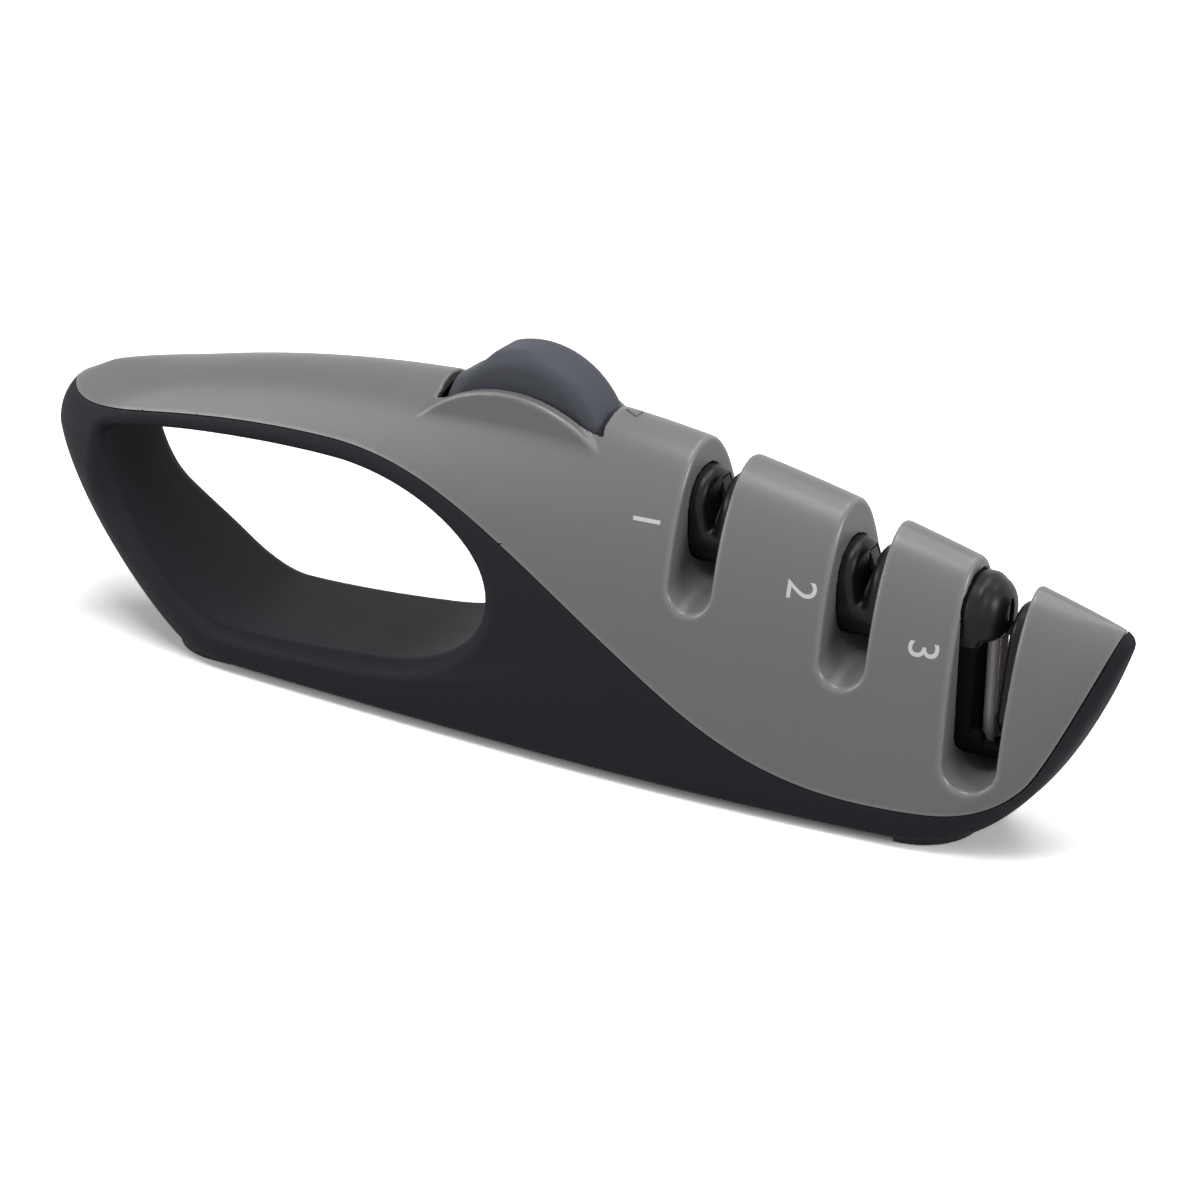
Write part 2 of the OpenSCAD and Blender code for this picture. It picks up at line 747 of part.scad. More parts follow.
module fine_arm_left() {
    at_fine() arm(false);
}
module fine_arm_right() {
    at_fine() turned() arm(false);
}
module fine_plate_left() {
    at_fine() plate();
}
module fine_plate_right() {
    at_fine() turned() plate();
}
// Bent leaf above each fine lever that closes the V again when the blade has passed
module leaf_spring() {
    top = -pivot_drop + room_low - run;
    low = -pivot_drop + 1 + run;
    back = lever_len + 1.4;
    color(steel)
        translate([0, -arm_mid, 0])
            rotate([90, 0, 0])
                linear_extrude(2, center = true)
                    polygon([
                        [-back, top], [-back + 2.4, top], [-back + 2.4, top - 0.3], [-back + 0.8, top - 0.3],
                        [-back + 0.5, top - 0.6], [-back + 2.2, low], [-back + 1.6, low], [-back, top - 0.9]
                    ]);
}
module fine_spring_left() {
    at_fine() leaf_spring();
}
module fine_spring_right() {
    at_fine() turned() leaf_spring();
}

// Scissor stage: tall liner with a raised block, a bridge, two upright rods and a nose guard
scissor_r = 7.5;
scissor_top = 54;
scissor_low = floor_z(2) + fit;
scissor_h = scissor_top - scissor_low;
scissor_z = (scissor_top + scissor_low) / 2;
liner_t = 3.1;
liner_tuck = 2.2;
scissor_left = scissor_x - scissor_w / 2;
block_low = 43.5;
block_out = 6.8;
web_h = 5;
web_out = scissor_w - 0.8;
rod_d = 2.4;
rod_y = 2;
rod_x = scissor_left + liner_t + rod_d / 2 + 0.3;
guard_r = 5.6;
guard_low = scissor_low + web_h + 0.3;
guard_top = 50;
guard_out = scissor_w + 2.4;
module scissor_prism(from, to, grow) {
    translate([scissor_left + (from + to) / 2, 0, scissor_z])
        cart_prism(to - from + 2 * grow, scissor_r + grow, scissor_h + 2 * grow);
}
module scissor_seat() {
    scissor_prism(-liner_tuck, liner_t, fit);
    intersection() {
        scissor_prism(0, web_out, fit);
        translate([scissor_left, -10, 0]) cube([20, 20, scissor_low + web_h]);
    }
}
module guard_prism(grow) {
    from = 5;
    translate([scissor_left + (from + guard_out) / 2, 0, (guard_low + guard_top) / 2])
        cart_prism(guard_out - from + 2 * grow, guard_r + grow, guard_top - guard_low + 2 * grow);
}
module guard_seat() {
    intersection() {
        guard_prism(fit);
        translate([scissor_left + scissor_w - 2, -10, guard_low - 1]) cube([10, 20, 60]);
    }
}
// Slanted bar from the block to the nose guard
bridge_tilt = 34;
bridge_l = 8.6;
bridge_w = 1.4;
bridge_t = 2.2;
module bridge_bar(grow) {
    translate([scissor_left + 6.9, 0, 44.2])
        rotate([0, -bridge_tilt, 0])
            cube([bridge_l + 2 * grow, bridge_w + 2 * grow, bridge_t + 2 * grow], center = true);
}
module scissor_cartridge() {
    color(black)
        difference() {
            union() {
                scissor_prism(-liner_tuck, liner_t, 0);
                intersection() {
                    translate([scissor_left + block_out / 2, 0, scissor_z])
                        cart_prism(block_out, scissor_r - 1, scissor_h - 1);
                    translate([scissor_left, -10, block_low]) cube([10, 20, 20]);
                }
                intersection() {
                    scissor_prism(0, web_out, 0);
                    translate([scissor_left, -10, scissor_low]) cube([20, 20, web_h]);
                }
            }
            for (side = [-1, 1])
                translate([rod_x, side * rod_y, scissor_low + web_h - 2]) cylinder(d = rod_d + 2 * run, h = 3);
            translate([scissor_left + block_out, 0, scissor_z + 14.4]) cube([1.2, 2.4, 4.4], center = true);
            bridge_bar(run);
        }
}
module scissor_rods() {
    color(ceramic)
        for (side = [-1, 1])
            translate([rod_x, side * rod_y, scissor_low + 3])
                cylinder(d = rod_d, h = block_low - scissor_low - 3 - run);
}
module scissor_bridge() {
    color(black) bridge_bar(0);
}
module nose_guard() {
    color(black)
        difference() {
            intersection() {
                guard_prism(0);
                rotate([90, 0, 0])
                    linear_extrude(20, center = true)
                        polygon([
                            [scissor_left + 6.6, guard_low], [scissor_left + guard_out, guard_low],
                            [scissor_left + guard_out, guard_top], [scissor_left + 9, guard_top],
                            [scissor_left + 8.4, block_low]
                        ]);
            }
            bridge_bar(run);
        }
}

base_body();
upper_shell();
bottom_cover();
cover_screws();
front_foot();
rear_foot();
angle_dial();
dial_axle();
detent_spring();
cam_slider();
coarse_cartridge();
coarse_pivot();
coarse_arm_left();
coarse_arm_right();
coarse_plate_left();
coarse_plate_right();
fine_cartridge();
fine_pivot();
fine_arm_left();
fine_arm_right();
fine_plate_left();
fine_plate_right();
fine_spring_left();
fine_spring_right();
scissor_cartridge();
scissor_bridge();
scissor_rods();
nose_guard();
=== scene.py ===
# %% [markdown]
# # A pull through knife sharpener
# The sharpener is a moulded body with a hand loop at the tail, three slots for blades and an
# angle dial on the crest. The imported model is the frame: every piece made here sits on it, and
# each one rides on the body that carries it.

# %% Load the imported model
import functools
import math

import bmesh
import bpy
import numpy as np
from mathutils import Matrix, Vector


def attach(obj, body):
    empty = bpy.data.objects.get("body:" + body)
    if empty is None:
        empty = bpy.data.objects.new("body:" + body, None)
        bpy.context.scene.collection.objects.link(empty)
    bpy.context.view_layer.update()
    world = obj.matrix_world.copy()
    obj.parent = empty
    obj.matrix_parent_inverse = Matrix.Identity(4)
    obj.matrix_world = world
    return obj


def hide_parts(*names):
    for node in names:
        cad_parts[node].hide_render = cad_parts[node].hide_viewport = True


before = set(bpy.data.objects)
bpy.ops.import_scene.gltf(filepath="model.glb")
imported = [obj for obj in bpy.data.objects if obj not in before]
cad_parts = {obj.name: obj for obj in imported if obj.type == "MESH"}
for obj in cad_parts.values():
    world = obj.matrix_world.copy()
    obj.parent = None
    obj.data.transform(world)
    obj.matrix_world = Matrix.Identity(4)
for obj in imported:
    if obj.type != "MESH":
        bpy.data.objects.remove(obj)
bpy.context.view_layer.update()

# %% [markdown]
# ## The camera
# The photograph looks at the near side from the nose end, 30 degrees round and 25 degrees up.
# The lens is long and the camera stands a little over half a metre away, which gives the slight
# perspective of a product picture. The camera is made first, because it decides what shows.


# %% Camera
def placed(name, data):
    """An object made of that data, put in the scene."""
    made = bpy.data.objects.new(name, data)
    bpy.context.scene.collection.objects.link(made)
    return made


camera_data = bpy.data.cameras.new("photo_camera")
camera_data.lens = 84
camera_data.sensor_width = 36
camera_data.clip_start = 0.01
camera = placed("photo_camera", camera_data)
look_at = Vector((0.0123, 0, 0.0293))
view_back = Vector((0.45315, -0.78488, 0.42262))
camera.location = look_at + 0.5666 * view_back
camera.rotation_euler = view_back.to_track_quat("Z", "Y").to_euler()
bpy.context.scene.camera = camera
print("camera stands at", [round(v, 3) for v in camera.location])

# %% [markdown]
# ## Floor, sky and lamps
# The picture has a white ground with a soft shadow close to the body. A white floor under a
# plain sky gives that. The sky is bright for the camera and for reflections only, so the white
# ground costs the object no colour. One lamp low by the tail lights the near side, a wide one
# above lights the crown, a smaller one beside it makes the sheen, and one ahead lights the nose.


# %% Nodes by name
def fill(tree, node, values):
    """Sets a node's inputs and settings by name; where the value is a socket, it is linked."""
    for name, value in values.items():
        if isinstance(value, bpy.types.NodeSocket):
            tree.links.new(value, node.inputs[name])
        elif name in node.inputs:
            node.inputs[name].default_value = value
        else:
            setattr(node, name, value)
    return node


def add(tree, kind, **values):
    """A new node of that kind, filled in."""
    return fill(tree, tree.nodes.new(kind), values)


def maths(how, first, second):
    """The result of a Math node between a socket and another socket or a number."""
    tree = first.id_data
    made = add(tree, "ShaderNodeMath", operation=how)
    tree.links.new(first, made.inputs[0])
    if isinstance(second, (int, float)):
        made.inputs[1].default_value = second
    else:
        tree.links.new(second, made.inputs[1])
    return made.outputs[0]


def noise(tree, place, scale, detail):
    """Noise from 0 to 1."""
    values = {"Vector": place, "Scale": scale, "Detail": detail}
    return add(tree, "ShaderNodeTexNoise", **values).outputs["Fac"]


def blend(tree, factor, first, second, how="MIX"):
    """A mix of two colours."""
    values = {"Factor": factor, "A": first, "B": second}
    made = add(tree, "ShaderNodeMix", data_type="RGBA", blend_type=how, **values)
    return made.outputs["Result"]


def bumps(tree, height, depth):
    """Normals bent by a height; depth is in millimetres."""
    made = add(tree, "ShaderNodeBump", Strength=0.4, Distance=depth / 1000, Height=height)
    return made.outputs["Normal"]


def rays(tree, kinds):
    """1 for rays of those kinds, else 0."""
    path = add(tree, "ShaderNodeLightPath")
    total = path.outputs[kinds[0]]
    for kind in kinds[1:]:
        total = maths("MAXIMUM", total, path.outputs[kind])
    return total


CAMERA = ("Is Camera Ray",)
MIRROR = ("Is Glossy Ray", "Is Transmission Ray")

# %% World
world = bpy.data.worlds.new("studio")
bpy.context.scene.world = world
world.use_nodes = True
sky = world.node_tree
sky.nodes.clear()
sky_level = 0.12
white_level = 1.0
white = (1, 1, 1, 1)
plain = add(sky, "ShaderNodeBackground", Color=white, Strength=sky_level)
bright = add(sky, "ShaderNodeBackground", Color=white, Strength=white_level)
either = add(sky, "ShaderNodeMixShader")
for k, source in enumerate((rays(sky, CAMERA + MIRROR), plain.outputs[0], bright.outputs[0])):
    sky.links.new(source, either.inputs[k])
add(sky, "ShaderNodeOutputWorld", Surface=either.outputs[0])
print("sky light", sky_level, "and white ground", white_level)


# %% Lamps
def soft_lamp(name, place, target, width, power):
    """A square area lamp that faces its target."""
    lamp = bpy.data.lights.new(name, "AREA")
    lamp.shape = "SQUARE"
    lamp.size = width
    lamp.energy = power
    holder = placed(name, lamp)
    holder.location = place
    away = Vector(place) - Vector(target)
    holder.rotation_euler = away.to_track_quat("Z", "Y").to_euler()


soft_lamp("tail_lamp", (-0.86, -0.72, 0.41), (0, 0, 0.04), 0.6, 4.2)
soft_lamp("top_lamp", (0.25, 0.34, 1.12), (0, 0, 0.04), 0.7, 4.2)
soft_lamp("sheen_lamp", (0.0, -0.24, 1.12), (0.03, 0, 0.04), 0.4, 3.6)
soft_lamp("nose_lamp", (1.05, -0.2, 0.55), (0.05, 0, 0.04), 0.4, 4.0)
bpy.context.scene.view_settings.view_transform = "Standard"


# %% Floor
def new_material(name):
    """A material, its node tree and its shader."""
    made = bpy.data.materials.new(name)
    made.use_nodes = True
    return made, made.node_tree, made.node_tree.nodes["Principled BSDF"]


far = 0.65
floor_mesh = bpy.data.meshes.new("floor")
floor_mesh.from_pydata(
    [(-far, -far, 0), (far, -far, 0), (far, far, 0), (-far, far, 0)], [], [(0, 1, 2, 3)]
)
floor = placed("floor", floor_mesh)
floor_paint, tree, paint = new_material("floor_paint")
floor_grey = (0.5, 0.5, 0.5, 1)
floor_white = (2.0, 2.0, 2.0, 1)
in_mirror = blend(tree, rays(tree, MIRROR), floor_grey, white)
seen = blend(tree, rays(tree, CAMERA), in_mirror, floor_white)
fill(tree, paint, {"Roughness": 0.9, "Specular IOR Level": 0.1, "Base Color": seen})
floor_mesh.materials.append(floor_paint)
print("floor and", len(bpy.data.lights), "lamps")

# %% [markdown]
# ## Surface effects that several finishes share
# Moulded plastic is never quite even: the mould's fine spark texture breaks up the sheen and the
# colour drifts a little. Raised edges get a painted highlight, uneven along them, and hollows are
# made darker. Each effect is a node group, made once and placed in every finish with its own
# numbers. It gives colours, masks and heights only, and the shader stays in the material.


# %% A group with named sockets
def node_group(name, inputs, outputs):
    """An empty shader group, the sockets that come into it, and its output node."""
    group = bpy.data.node_groups.new(name, "ShaderNodeTree")
    for way, labels in (("INPUT", inputs), ("OUTPUT", outputs)):
        for label in labels:
            kind = "NodeSocketColor" if label == "Colour" else "NodeSocketFloat"
            group.interface.new_socket(name=label, in_out=way, socket_type=kind)
    given = group.nodes.new("NodeGroupInput").outputs
    return group, given, group.nodes.new("NodeGroupOutput")


# %% Mould texture group
mould, given, mould_out = node_group(
    "mould_texture",
    ["Colour", "Drift", "Roughness", "Grain per metre", "Grain"],
    ["Colour", "Roughness", "Height"],
)
where = add(mould, "ShaderNodeTexCoord").outputs["Object"]
per_metre = given["Grain per metre"]
fleck = add(mould, "ShaderNodeTexVoronoi", feature="F1", Vector=where, Scale=per_metre)
drift = maths("SUBTRACT", noise(mould, where, 38.0, 3.0), 0.5)
drift = maths("MULTIPLY", drift, given["Drift"])
fine = maths("SUBTRACT", noise(mould, where, per_metre, 2.0), 0.5)
fine_part = maths("MULTIPLY", fine, given["Grain"])
level = maths("ADD", drift, maths("MULTIPLY", fine_part, 0.12))
level = maths("ADD", level, 1.0)
shade = add(mould, "ShaderNodeHueSaturation", Color=given["Colour"], Value=level)
rough = maths("ADD", given["Roughness"], maths("MULTIPLY", fine_part, 0.25))
rough = maths("ADD", rough, drift)
height = maths("MULTIPLY", maths("ADD", fine, fleck.outputs["Distance"]), given["Grain"])
fill(mould, mould_out, {"Colour": shade.outputs["Color"], "Roughness": rough, "Height": height})

# %% Edge wear group
edge_and_hollow_group, given, edge_and_hollow_out = node_group(
    "edge_highlight_and_hollows", ["Colour", "Roughness", "Edge", "Hollow", "Polish"], ["Colour", "Roughness"]
)
hollow_dark = 0.2
hollow_colour = (0.05, 0.048, 0.045, 1)
where = add(edge_and_hollow_group, "ShaderNodeTexCoord").outputs["Object"]
spread = {"From Min": 0.3, "From Max": 0.7, "To Min": 0.7, "Value": noise(edge_and_hollow_group, where, 160.0, 4.0)}
patchy = add(edge_and_hollow_group, "ShaderNodeMapRange", **spread)
# Raised edges are screened brighter and made smoother: a painted highlight for the light that rims
# catch, uneven along the edge.
edge_part = maths("MULTIPLY", given["Edge"], given["Polish"])
edge_light = maths("MULTIPLY", edge_part, patchy.outputs["Result"])
# Hollows are blended towards a dark colour and made rougher.
hollow_part = maths("MULTIPLY", given["Hollow"], hollow_dark)
shine = maths("MULTIPLY", edge_light, 0.8)
brighter = blend(edge_and_hollow_group, shine, given["Colour"], given["Colour"], "SCREEN")
hollow_darkened = blend(edge_and_hollow_group, hollow_part, brighter, hollow_colour)
smoother = maths("SUBTRACT", given["Roughness"], maths("MULTIPLY", edge_light, 0.25))
rough = maths("ADD", smoother, maths("MULTIPLY", hollow_part, 0.3))
fill(edge_and_hollow_group, edge_and_hollow_out, {"Colour": hollow_darkened, "Roughness": rough})
print("groups:", [g.name for g in bpy.data.node_groups])

# %% [markdown]
# ## The finishes
# The real colours are a warm mid grey for the upper shell, a near black soft touch base, a slate
# dial and black inserts. Steel, the coated plates and the pink ceramic rods show only inside
# the slots. All plastics share one recipe, so they look like one product.


# %% Plastic
def plastic(
    name, colour, roughness, drift=0.05, grain=0.5, scale=2600.0, bump=0.012, highlight=0.35, gloss=0.5
):
    """Moulded plastic: mould texture, then a painted highlight on raised edges and darker hollows.
    """
    made, tree, shader = new_material(name)
    skin = {"Colour": (*colour, 1), "Drift": drift, "Roughness": roughness}
    skin |= {"Grain per metre": scale, "Grain": grain}
    texture = add(tree, "ShaderNodeGroup", node_tree=mould, **skin)
    masks = {
        label: add(tree, "ShaderNodeAttribute", attribute_name=label.lower()).outputs["Fac"]
        for label in ("Edge", "Hollow")
    }
    use = add(
        tree, "ShaderNodeGroup", node_tree=edge_and_hollow_group, Polish=highlight,
        Colour=texture.outputs["Colour"], Roughness=texture.outputs["Roughness"], **masks,
    )
    finish = {"Base Color": use.outputs["Colour"], "Roughness": use.outputs["Roughness"]}
    finish["Normal"] = bumps(tree, texture.outputs["Height"], bump)
    finish["Specular IOR Level"] = gloss
    fill(tree, shader, finish)
    return made


# The shell's raised edges get the strongest painted highlight, the bright rim lines where light
# catches them.
grey_shell = plastic("grey_shell", (0.2, 0.203, 0.197), 0.36, highlight=0.8)
dark_base = plastic(
    "dark_base", (0.0152, 0.0162, 0.0203), 0.62, drift=0.06, grain=0.7, gloss=0.16
)
slate_dial = plastic("slate_dial", (0.078, 0.084, 0.102), 0.55, grain=0.6, gloss=0.25)
black_insert = plastic("black_insert", (0.0085, 0.0088, 0.0105), 0.34, gloss=0.25)
# Matt and darker than black_insert: the liner below the scissor block gets it as a painted shade
# for the shadow in its slot.
matt_painted_shade = plastic("matt_painted_shade", (0.004, 0.0042, 0.005), 0.7, gloss=0.06)
rubber = plastic(
    "foot_rubber", (0.012, 0.012, 0.012), 0.75, drift=0.08, grain=0.9, scale=1500.0, bump=0.03
)
white_print = plastic("white_print", (0.82, 0.82, 0.8), 0.5, drift=0.03, grain=0.3)


# %% [markdown]
# Metal is brushed along one direction, so its texture is noise that is stretched many times.
# The coated plates carry abrasive grit and the rods are fired ceramic with a faint pink tone.


# %% Metal, grit and ceramic
def brushed(name, colour, roughness, metallic, stretch=(1, 1, 14), scale=900.0, bump=0.006):
    """Metal or ceramic with streaks or grit in its roughness, colour and height."""
    made, tree, shader = new_material(name)
    where = add(tree, "ShaderNodeTexCoord").outputs["Object"]
    place = add(tree, "ShaderNodeMapping", Vector=where, Scale=stretch).outputs["Vector"]
    streak = noise(tree, place, scale, 3.0)
    uneven = maths("SUBTRACT", streak, 0.5)
    uneven = maths("MULTIPLY", uneven, 0.3)
    level = maths("ADD", uneven, 1.0)
    tone = add(tree, "ShaderNodeHueSaturation", Color=(*colour, 1), Value=level)
    finish = {"Base Color": tone.outputs["Color"], "Metallic": metallic}
    finish["Normal"] = bumps(tree, streak, bump)
    finish["Roughness"] = maths("ADD", uneven, roughness)
    fill(tree, shader, finish)
    return made


steel = brushed("brushed_steel", (0.55, 0.55, 0.56), 0.32, 1.0)
grit = brushed(
    "abrasive_grit", (0.09, 0.09, 0.095), 0.6, 0.5, stretch=(1, 1, 1), scale=5200.0, bump=0.05
)
dark_ceramic = brushed("dark_ceramic", (0.06, 0.056, 0.054), 0.35, 0.0, stretch=(3, 3, 1))
ceramic = brushed("pink_ceramic", (0.66, 0.6, 0.58), 0.16, 0.0, stretch=(6, 6, 1), scale=500.0)
print("finishes:", [m.name for m in bpy.data.materials])

# %% [markdown]
# ## Smooth forms from distance fields
# A moulded body like this has no flat faces: the sides swell, the loop and the slots have soft
# rims, and one form flows into the next. It could be carved with booleans and bevels, but they
# break on such thin, curved edges. A distance field is steadier. It is a function that tells how
# far a point is outside the form, in millimetres, and is negative inside. Two fields join or cut
# each other with a rounded edge of any radius, and the skin is where the field is zero.


# %% Rounded joins of fields
def ease(t):
    """Rises smoothly from 0 to 1 as t does."""
    t = np.clip(t, 0, 1)
    return t * t * (3 - 2 * t)


def cut_round(a, b, radius):
    """Inside both fields, with their shared edge rounded."""
    u = np.maximum(radius + a, 0)
    v = np.maximum(radius + b, 0)
    return np.minimum(-radius, np.maximum(a, b)) + np.sqrt(u * u + v * v)


def within(*fields):
    """Inside all of the fields."""
    return functools.reduce(np.maximum, fields)


def cut(form, *holes):
    """The form without the holes."""
    return within(form, *(-hole for hole in holes))


def join_round(a, b, radius):
    """Inside either field, with a fillet where they meet."""
    u = np.maximum(radius - a, 0)
    v = np.maximum(radius - b, 0)
    return np.maximum(radius, np.minimum(a, b)) - np.sqrt(u * u + v * v)


def arc_path(points, steps):
    """Points along a chain of cubic curves; each one starts where the last one ended."""
    points = np.array(points, float)
    t = np.linspace(0, 1, steps)[:, None]
    parts = []
    for k in range(0, len(points) - 1, 3):
        a, b, c, d = points[k : k + 4]
        start = (1 - t) ** 3 * a + 3 * t * (1 - t) ** 2 * b
        parts.append(start + 3 * t * t * (1 - t) * c + t**3 * d)
    return np.concatenate(parts)


# %% [markdown]
# The skin is found on a grid: each cell that the surface crosses gets one point, and the points of
# neighbouring cells are joined into four sided faces. Every point is then moved along the field's
# slope until it lies on the surface, and the slope also gives the shading normal. How sharply the
# field bends there is kept on the mesh as two masks, raised edges and hollows, which the finishes
# use for a painted edge highlight and for darker hollows.

# %% Skin of a field
CORNERS = [(i, j, k) for i in (0, 1) for j in (0, 1) for k in (0, 1)]
SETTLING_MOVES = 3


def slope(field, p, h):
    """Direction in which the field grows fastest."""
    out = []
    for axis in range(3):
        step = np.zeros(3)
        step[axis] = h
        ahead = field(*(p + step).T)
        behind = field(*(p - step).T)
        out.append((ahead - behind) / (2 * h))
    return np.array(out).T


def grid_values(field, axes, slab=24):
    """The field on the grid, worked out a few planes at a time."""
    x, y, z = axes
    rows = []
    for start in range(0, len(x), slab):
        part = x[start : start + slab]
        value = field(part[:, None, None], y[None, :, None], z[None, None, :])
        rows.append(np.broadcast_to(value, (len(part), len(y), len(z))).astype(np.float32))
    return np.concatenate(rows)


def skin_points(values, axes, cell):
    """One point in each cell that the surface crosses, and the cell's number in the grid."""
    shape = tuple(n - 1 for n in values.shape)
    corner = [values[i : i + shape[0], j : j + shape[1], k : k + shape[2]] for i, j, k in CORNERS]
    inside = sum((c < 0).astype(np.int8) for c in corner)
    crossed = (inside > 0) & (inside < 8)
    held = np.array([c[crossed] for c in corner])
    place = np.zeros((held.shape[1], 3))
    count = np.zeros(held.shape[1])
    for a, first in enumerate(CORNERS):
        for b, second in enumerate(CORNERS):
            if b <= a or sum(abs(p - q) for p, q in zip(first, second)) != 1:
                continue
            change = (held[a] < 0) != (held[b] < 0)
            t = np.where(change, held[a] / np.where(change, held[a] - held[b], 1), 0)
            at = np.array(first)[None] + t[:, None] * (np.array(second) - np.array(first))[None]
            place += np.where(change[:, None], at, 0)
            count += change
    number = np.full(shape, -1, np.int64)
    number[crossed] = np.arange(len(count))
    origin = np.array([a[0] for a in axes])
    points = origin + cell * (np.argwhere(crossed) + place / count[:, None])
    return points, number


def skin_faces(values, number):
    """Four sided faces round every grid edge that the surface crosses."""
    inside = values < 0
    faces = []
    for axis in range(3):
        v = np.moveaxis(inside, axis, 0)
        n = np.moveaxis(number, axis, 0)
        low = v[:-1, 1:-1, 1:-1]
        high = v[1:, 1:-1, 1:-1]
        quads = [n[:, :-1, :-1], n[:, 1:, :-1], n[:, 1:, 1:], n[:, :-1, 1:]]
        for rule, order in ((low & ~high, (0, 1, 2, 3)), (~low & high, (3, 2, 1, 0))):
            if axis == 1:
                order = order[::-1]
            faces.append(np.stack([quads[k][rule] for k in order], axis=1))
    return np.concatenate(faces)


def short(move, longest):
    """The moves, cut down to a greatest length."""
    length = np.linalg.norm(move, axis=1, keepdims=True)
    return move * np.minimum(1, longest / np.maximum(length, 1e-9))


def field_mesh(name, field, low, high, cell, crease=None):
    """A smooth shaded object on the zero of a field given in millimetres. crease names two
    surfaces whose shared edge is to be sharp and clean."""
    axes = [np.arange(a - 2 * cell, b + 2.5 * cell, cell) for a, b in zip(low, high)]
    values = grid_values(field, axes)
    points, number = skin_points(values, axes, cell)
    faces = skin_faces(values, number)
    home = np.array([a[0] for a in axes]) + cell * (np.argwhere(number >= 0) + 0.5)
    for _ in range(SETTLING_MOVES):
        g = slope(field, points, 0.08)
        size = np.maximum((g * g).sum(1), 0.2)
        points = points + short(-(field(*points.T) / size)[:, None] * g, 0.4 * cell)
    g = slope(field, points, 0.08)
    if crease:
        points, g, snapped = snap_to_crease(points, g, home, faces, *crease, cell)
        faces = split_along(faces, snapped)
    normal = g / np.maximum(np.linalg.norm(g, axis=1, keepdims=True), 1e-9)
    mesh = bpy.data.meshes.new(name)
    mesh.from_pydata((points / 1000).tolist(), [], faces if crease else faces.tolist())
    mark_bends(mesh, field, points, normal)
    mesh.shade_smooth()
    mesh.normals_split_custom_set_from_vertices(normal.tolist())
    piece = placed(name, mesh)
    print(name, len(points), "points,", len(faces), "faces")
    return piece


def onto_crease(p, skin, edge, cell):
    """Moves points onto the line where two surfaces cross."""
    for _ in range(5):
        ga, gb = slope(skin, p, 0.05), slope(edge, p, 0.05)
        fa, fb = skin(*p.T), edge(*p.T)
        aa, bb, ab = (ga * ga).sum(1), (gb * gb).sum(1), (ga * gb).sum(1)
        det = np.maximum(aa * bb - ab * ab, 0.05)
        u = (fa * bb - fb * ab) / det
        v = (fb * aa - fa * ab) / det
        p = p + short(-(u[:, None] * ga + v[:, None] * gb), cell)
    return p


def snap_to_crease(points, g, home, faces, skin, edge, cell):
    """Puts the point of every grid cell that the line between two surfaces runs through onto that
    line, and then each point that would join the two surfaces past it. They get the skin's slope,
    so the skin shades evenly right up to its edge."""
    reach = 1.3 * cell
    near = (np.abs(skin(*home.T)) < reach) & (np.abs(edge(*home.T)) < reach)
    p = onto_crease(home[near], skin, edge, cell)
    kept = np.abs(p - home[near]).max(axis=1) < 0.8 * cell
    points, g = points.copy(), g.copy()
    rows = np.flatnonzero(near)[kept]
    points[rows] = p[kept]
    snapped = np.zeros(len(points), bool)
    snapped[rows] = True
    on_skin, on_edge = np.abs(skin(*points.T)) < 0.05, np.abs(edge(*points.T)) < 0.05
    over, under = on_skin & ~snapped, on_edge & ~on_skin & ~snapped
    late = np.zeros(len(points), bool)
    for a, b in ((0, 1), (1, 2), (2, 3), (3, 0)):
        for i, j in ((faces[:, a], faces[:, b]), (faces[:, b], faces[:, a])):
            late[i[under[i] & over[j]]] = True
    points[late] = onto_crease(points[late], skin, edge, cell)
    snapped |= late
    g[snapped] = slope(skin, points[snapped], 0.08)
    return points, g, snapped


def split_along(faces, snapped):
    """Cuts a four sided face in two where the crease runs through it from corner to corner."""
    on = snapped[faces]
    first = on[:, 0] & on[:, 2] & ~(on[:, 1] & on[:, 3])
    second = on[:, 1] & on[:, 3] & ~(on[:, 0] & on[:, 2])
    parts = faces[~(first | second)].tolist()
    for rule, a, b in ((first, (0, 1, 2), (0, 2, 3)), (second, (1, 2, 3), (1, 3, 0))):
        for order in (a, b):
            parts += faces[rule][:, order].tolist()
    return parts


def mark_bends(mesh, field, points, normal, reach=0.6):
    """Masks for raised edges and hollows, from how the field bends across each point."""
    side = np.cross(normal, np.where(abs(normal[:, 2:]) < 0.8, (0.0, 0.0, 1.0), (1.0, 0.0, 0.0)))
    side /= np.linalg.norm(side, axis=1, keepdims=True)
    other = np.cross(normal, side)
    here = 4 * field(*points.T)
    bend = sum(field(*(points + s * reach * d).T) for d in (side, other) for s in (-1, 1)) - here
    bend = bend / reach**2
    for label, value in (("edge", bend), ("hollow", -bend)):
        layer = mesh.attributes.new(label, "FLOAT", "POINT")
        layer.data.foreach_set("value", np.clip(value / 1.2, 0, 1).astype(np.float32))


# %% [markdown]
# ## The outer form of the body
# From the side the body is bounded by four lines: the long arc over the handle, the crown that
# falls to the nose, the sloping strut at the tail and the undercut nose. From above it is a slim
# boat shape, widest just in front of the dial, and across it is an arch with full shoulders.
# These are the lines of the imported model, so the skin stays in its box.

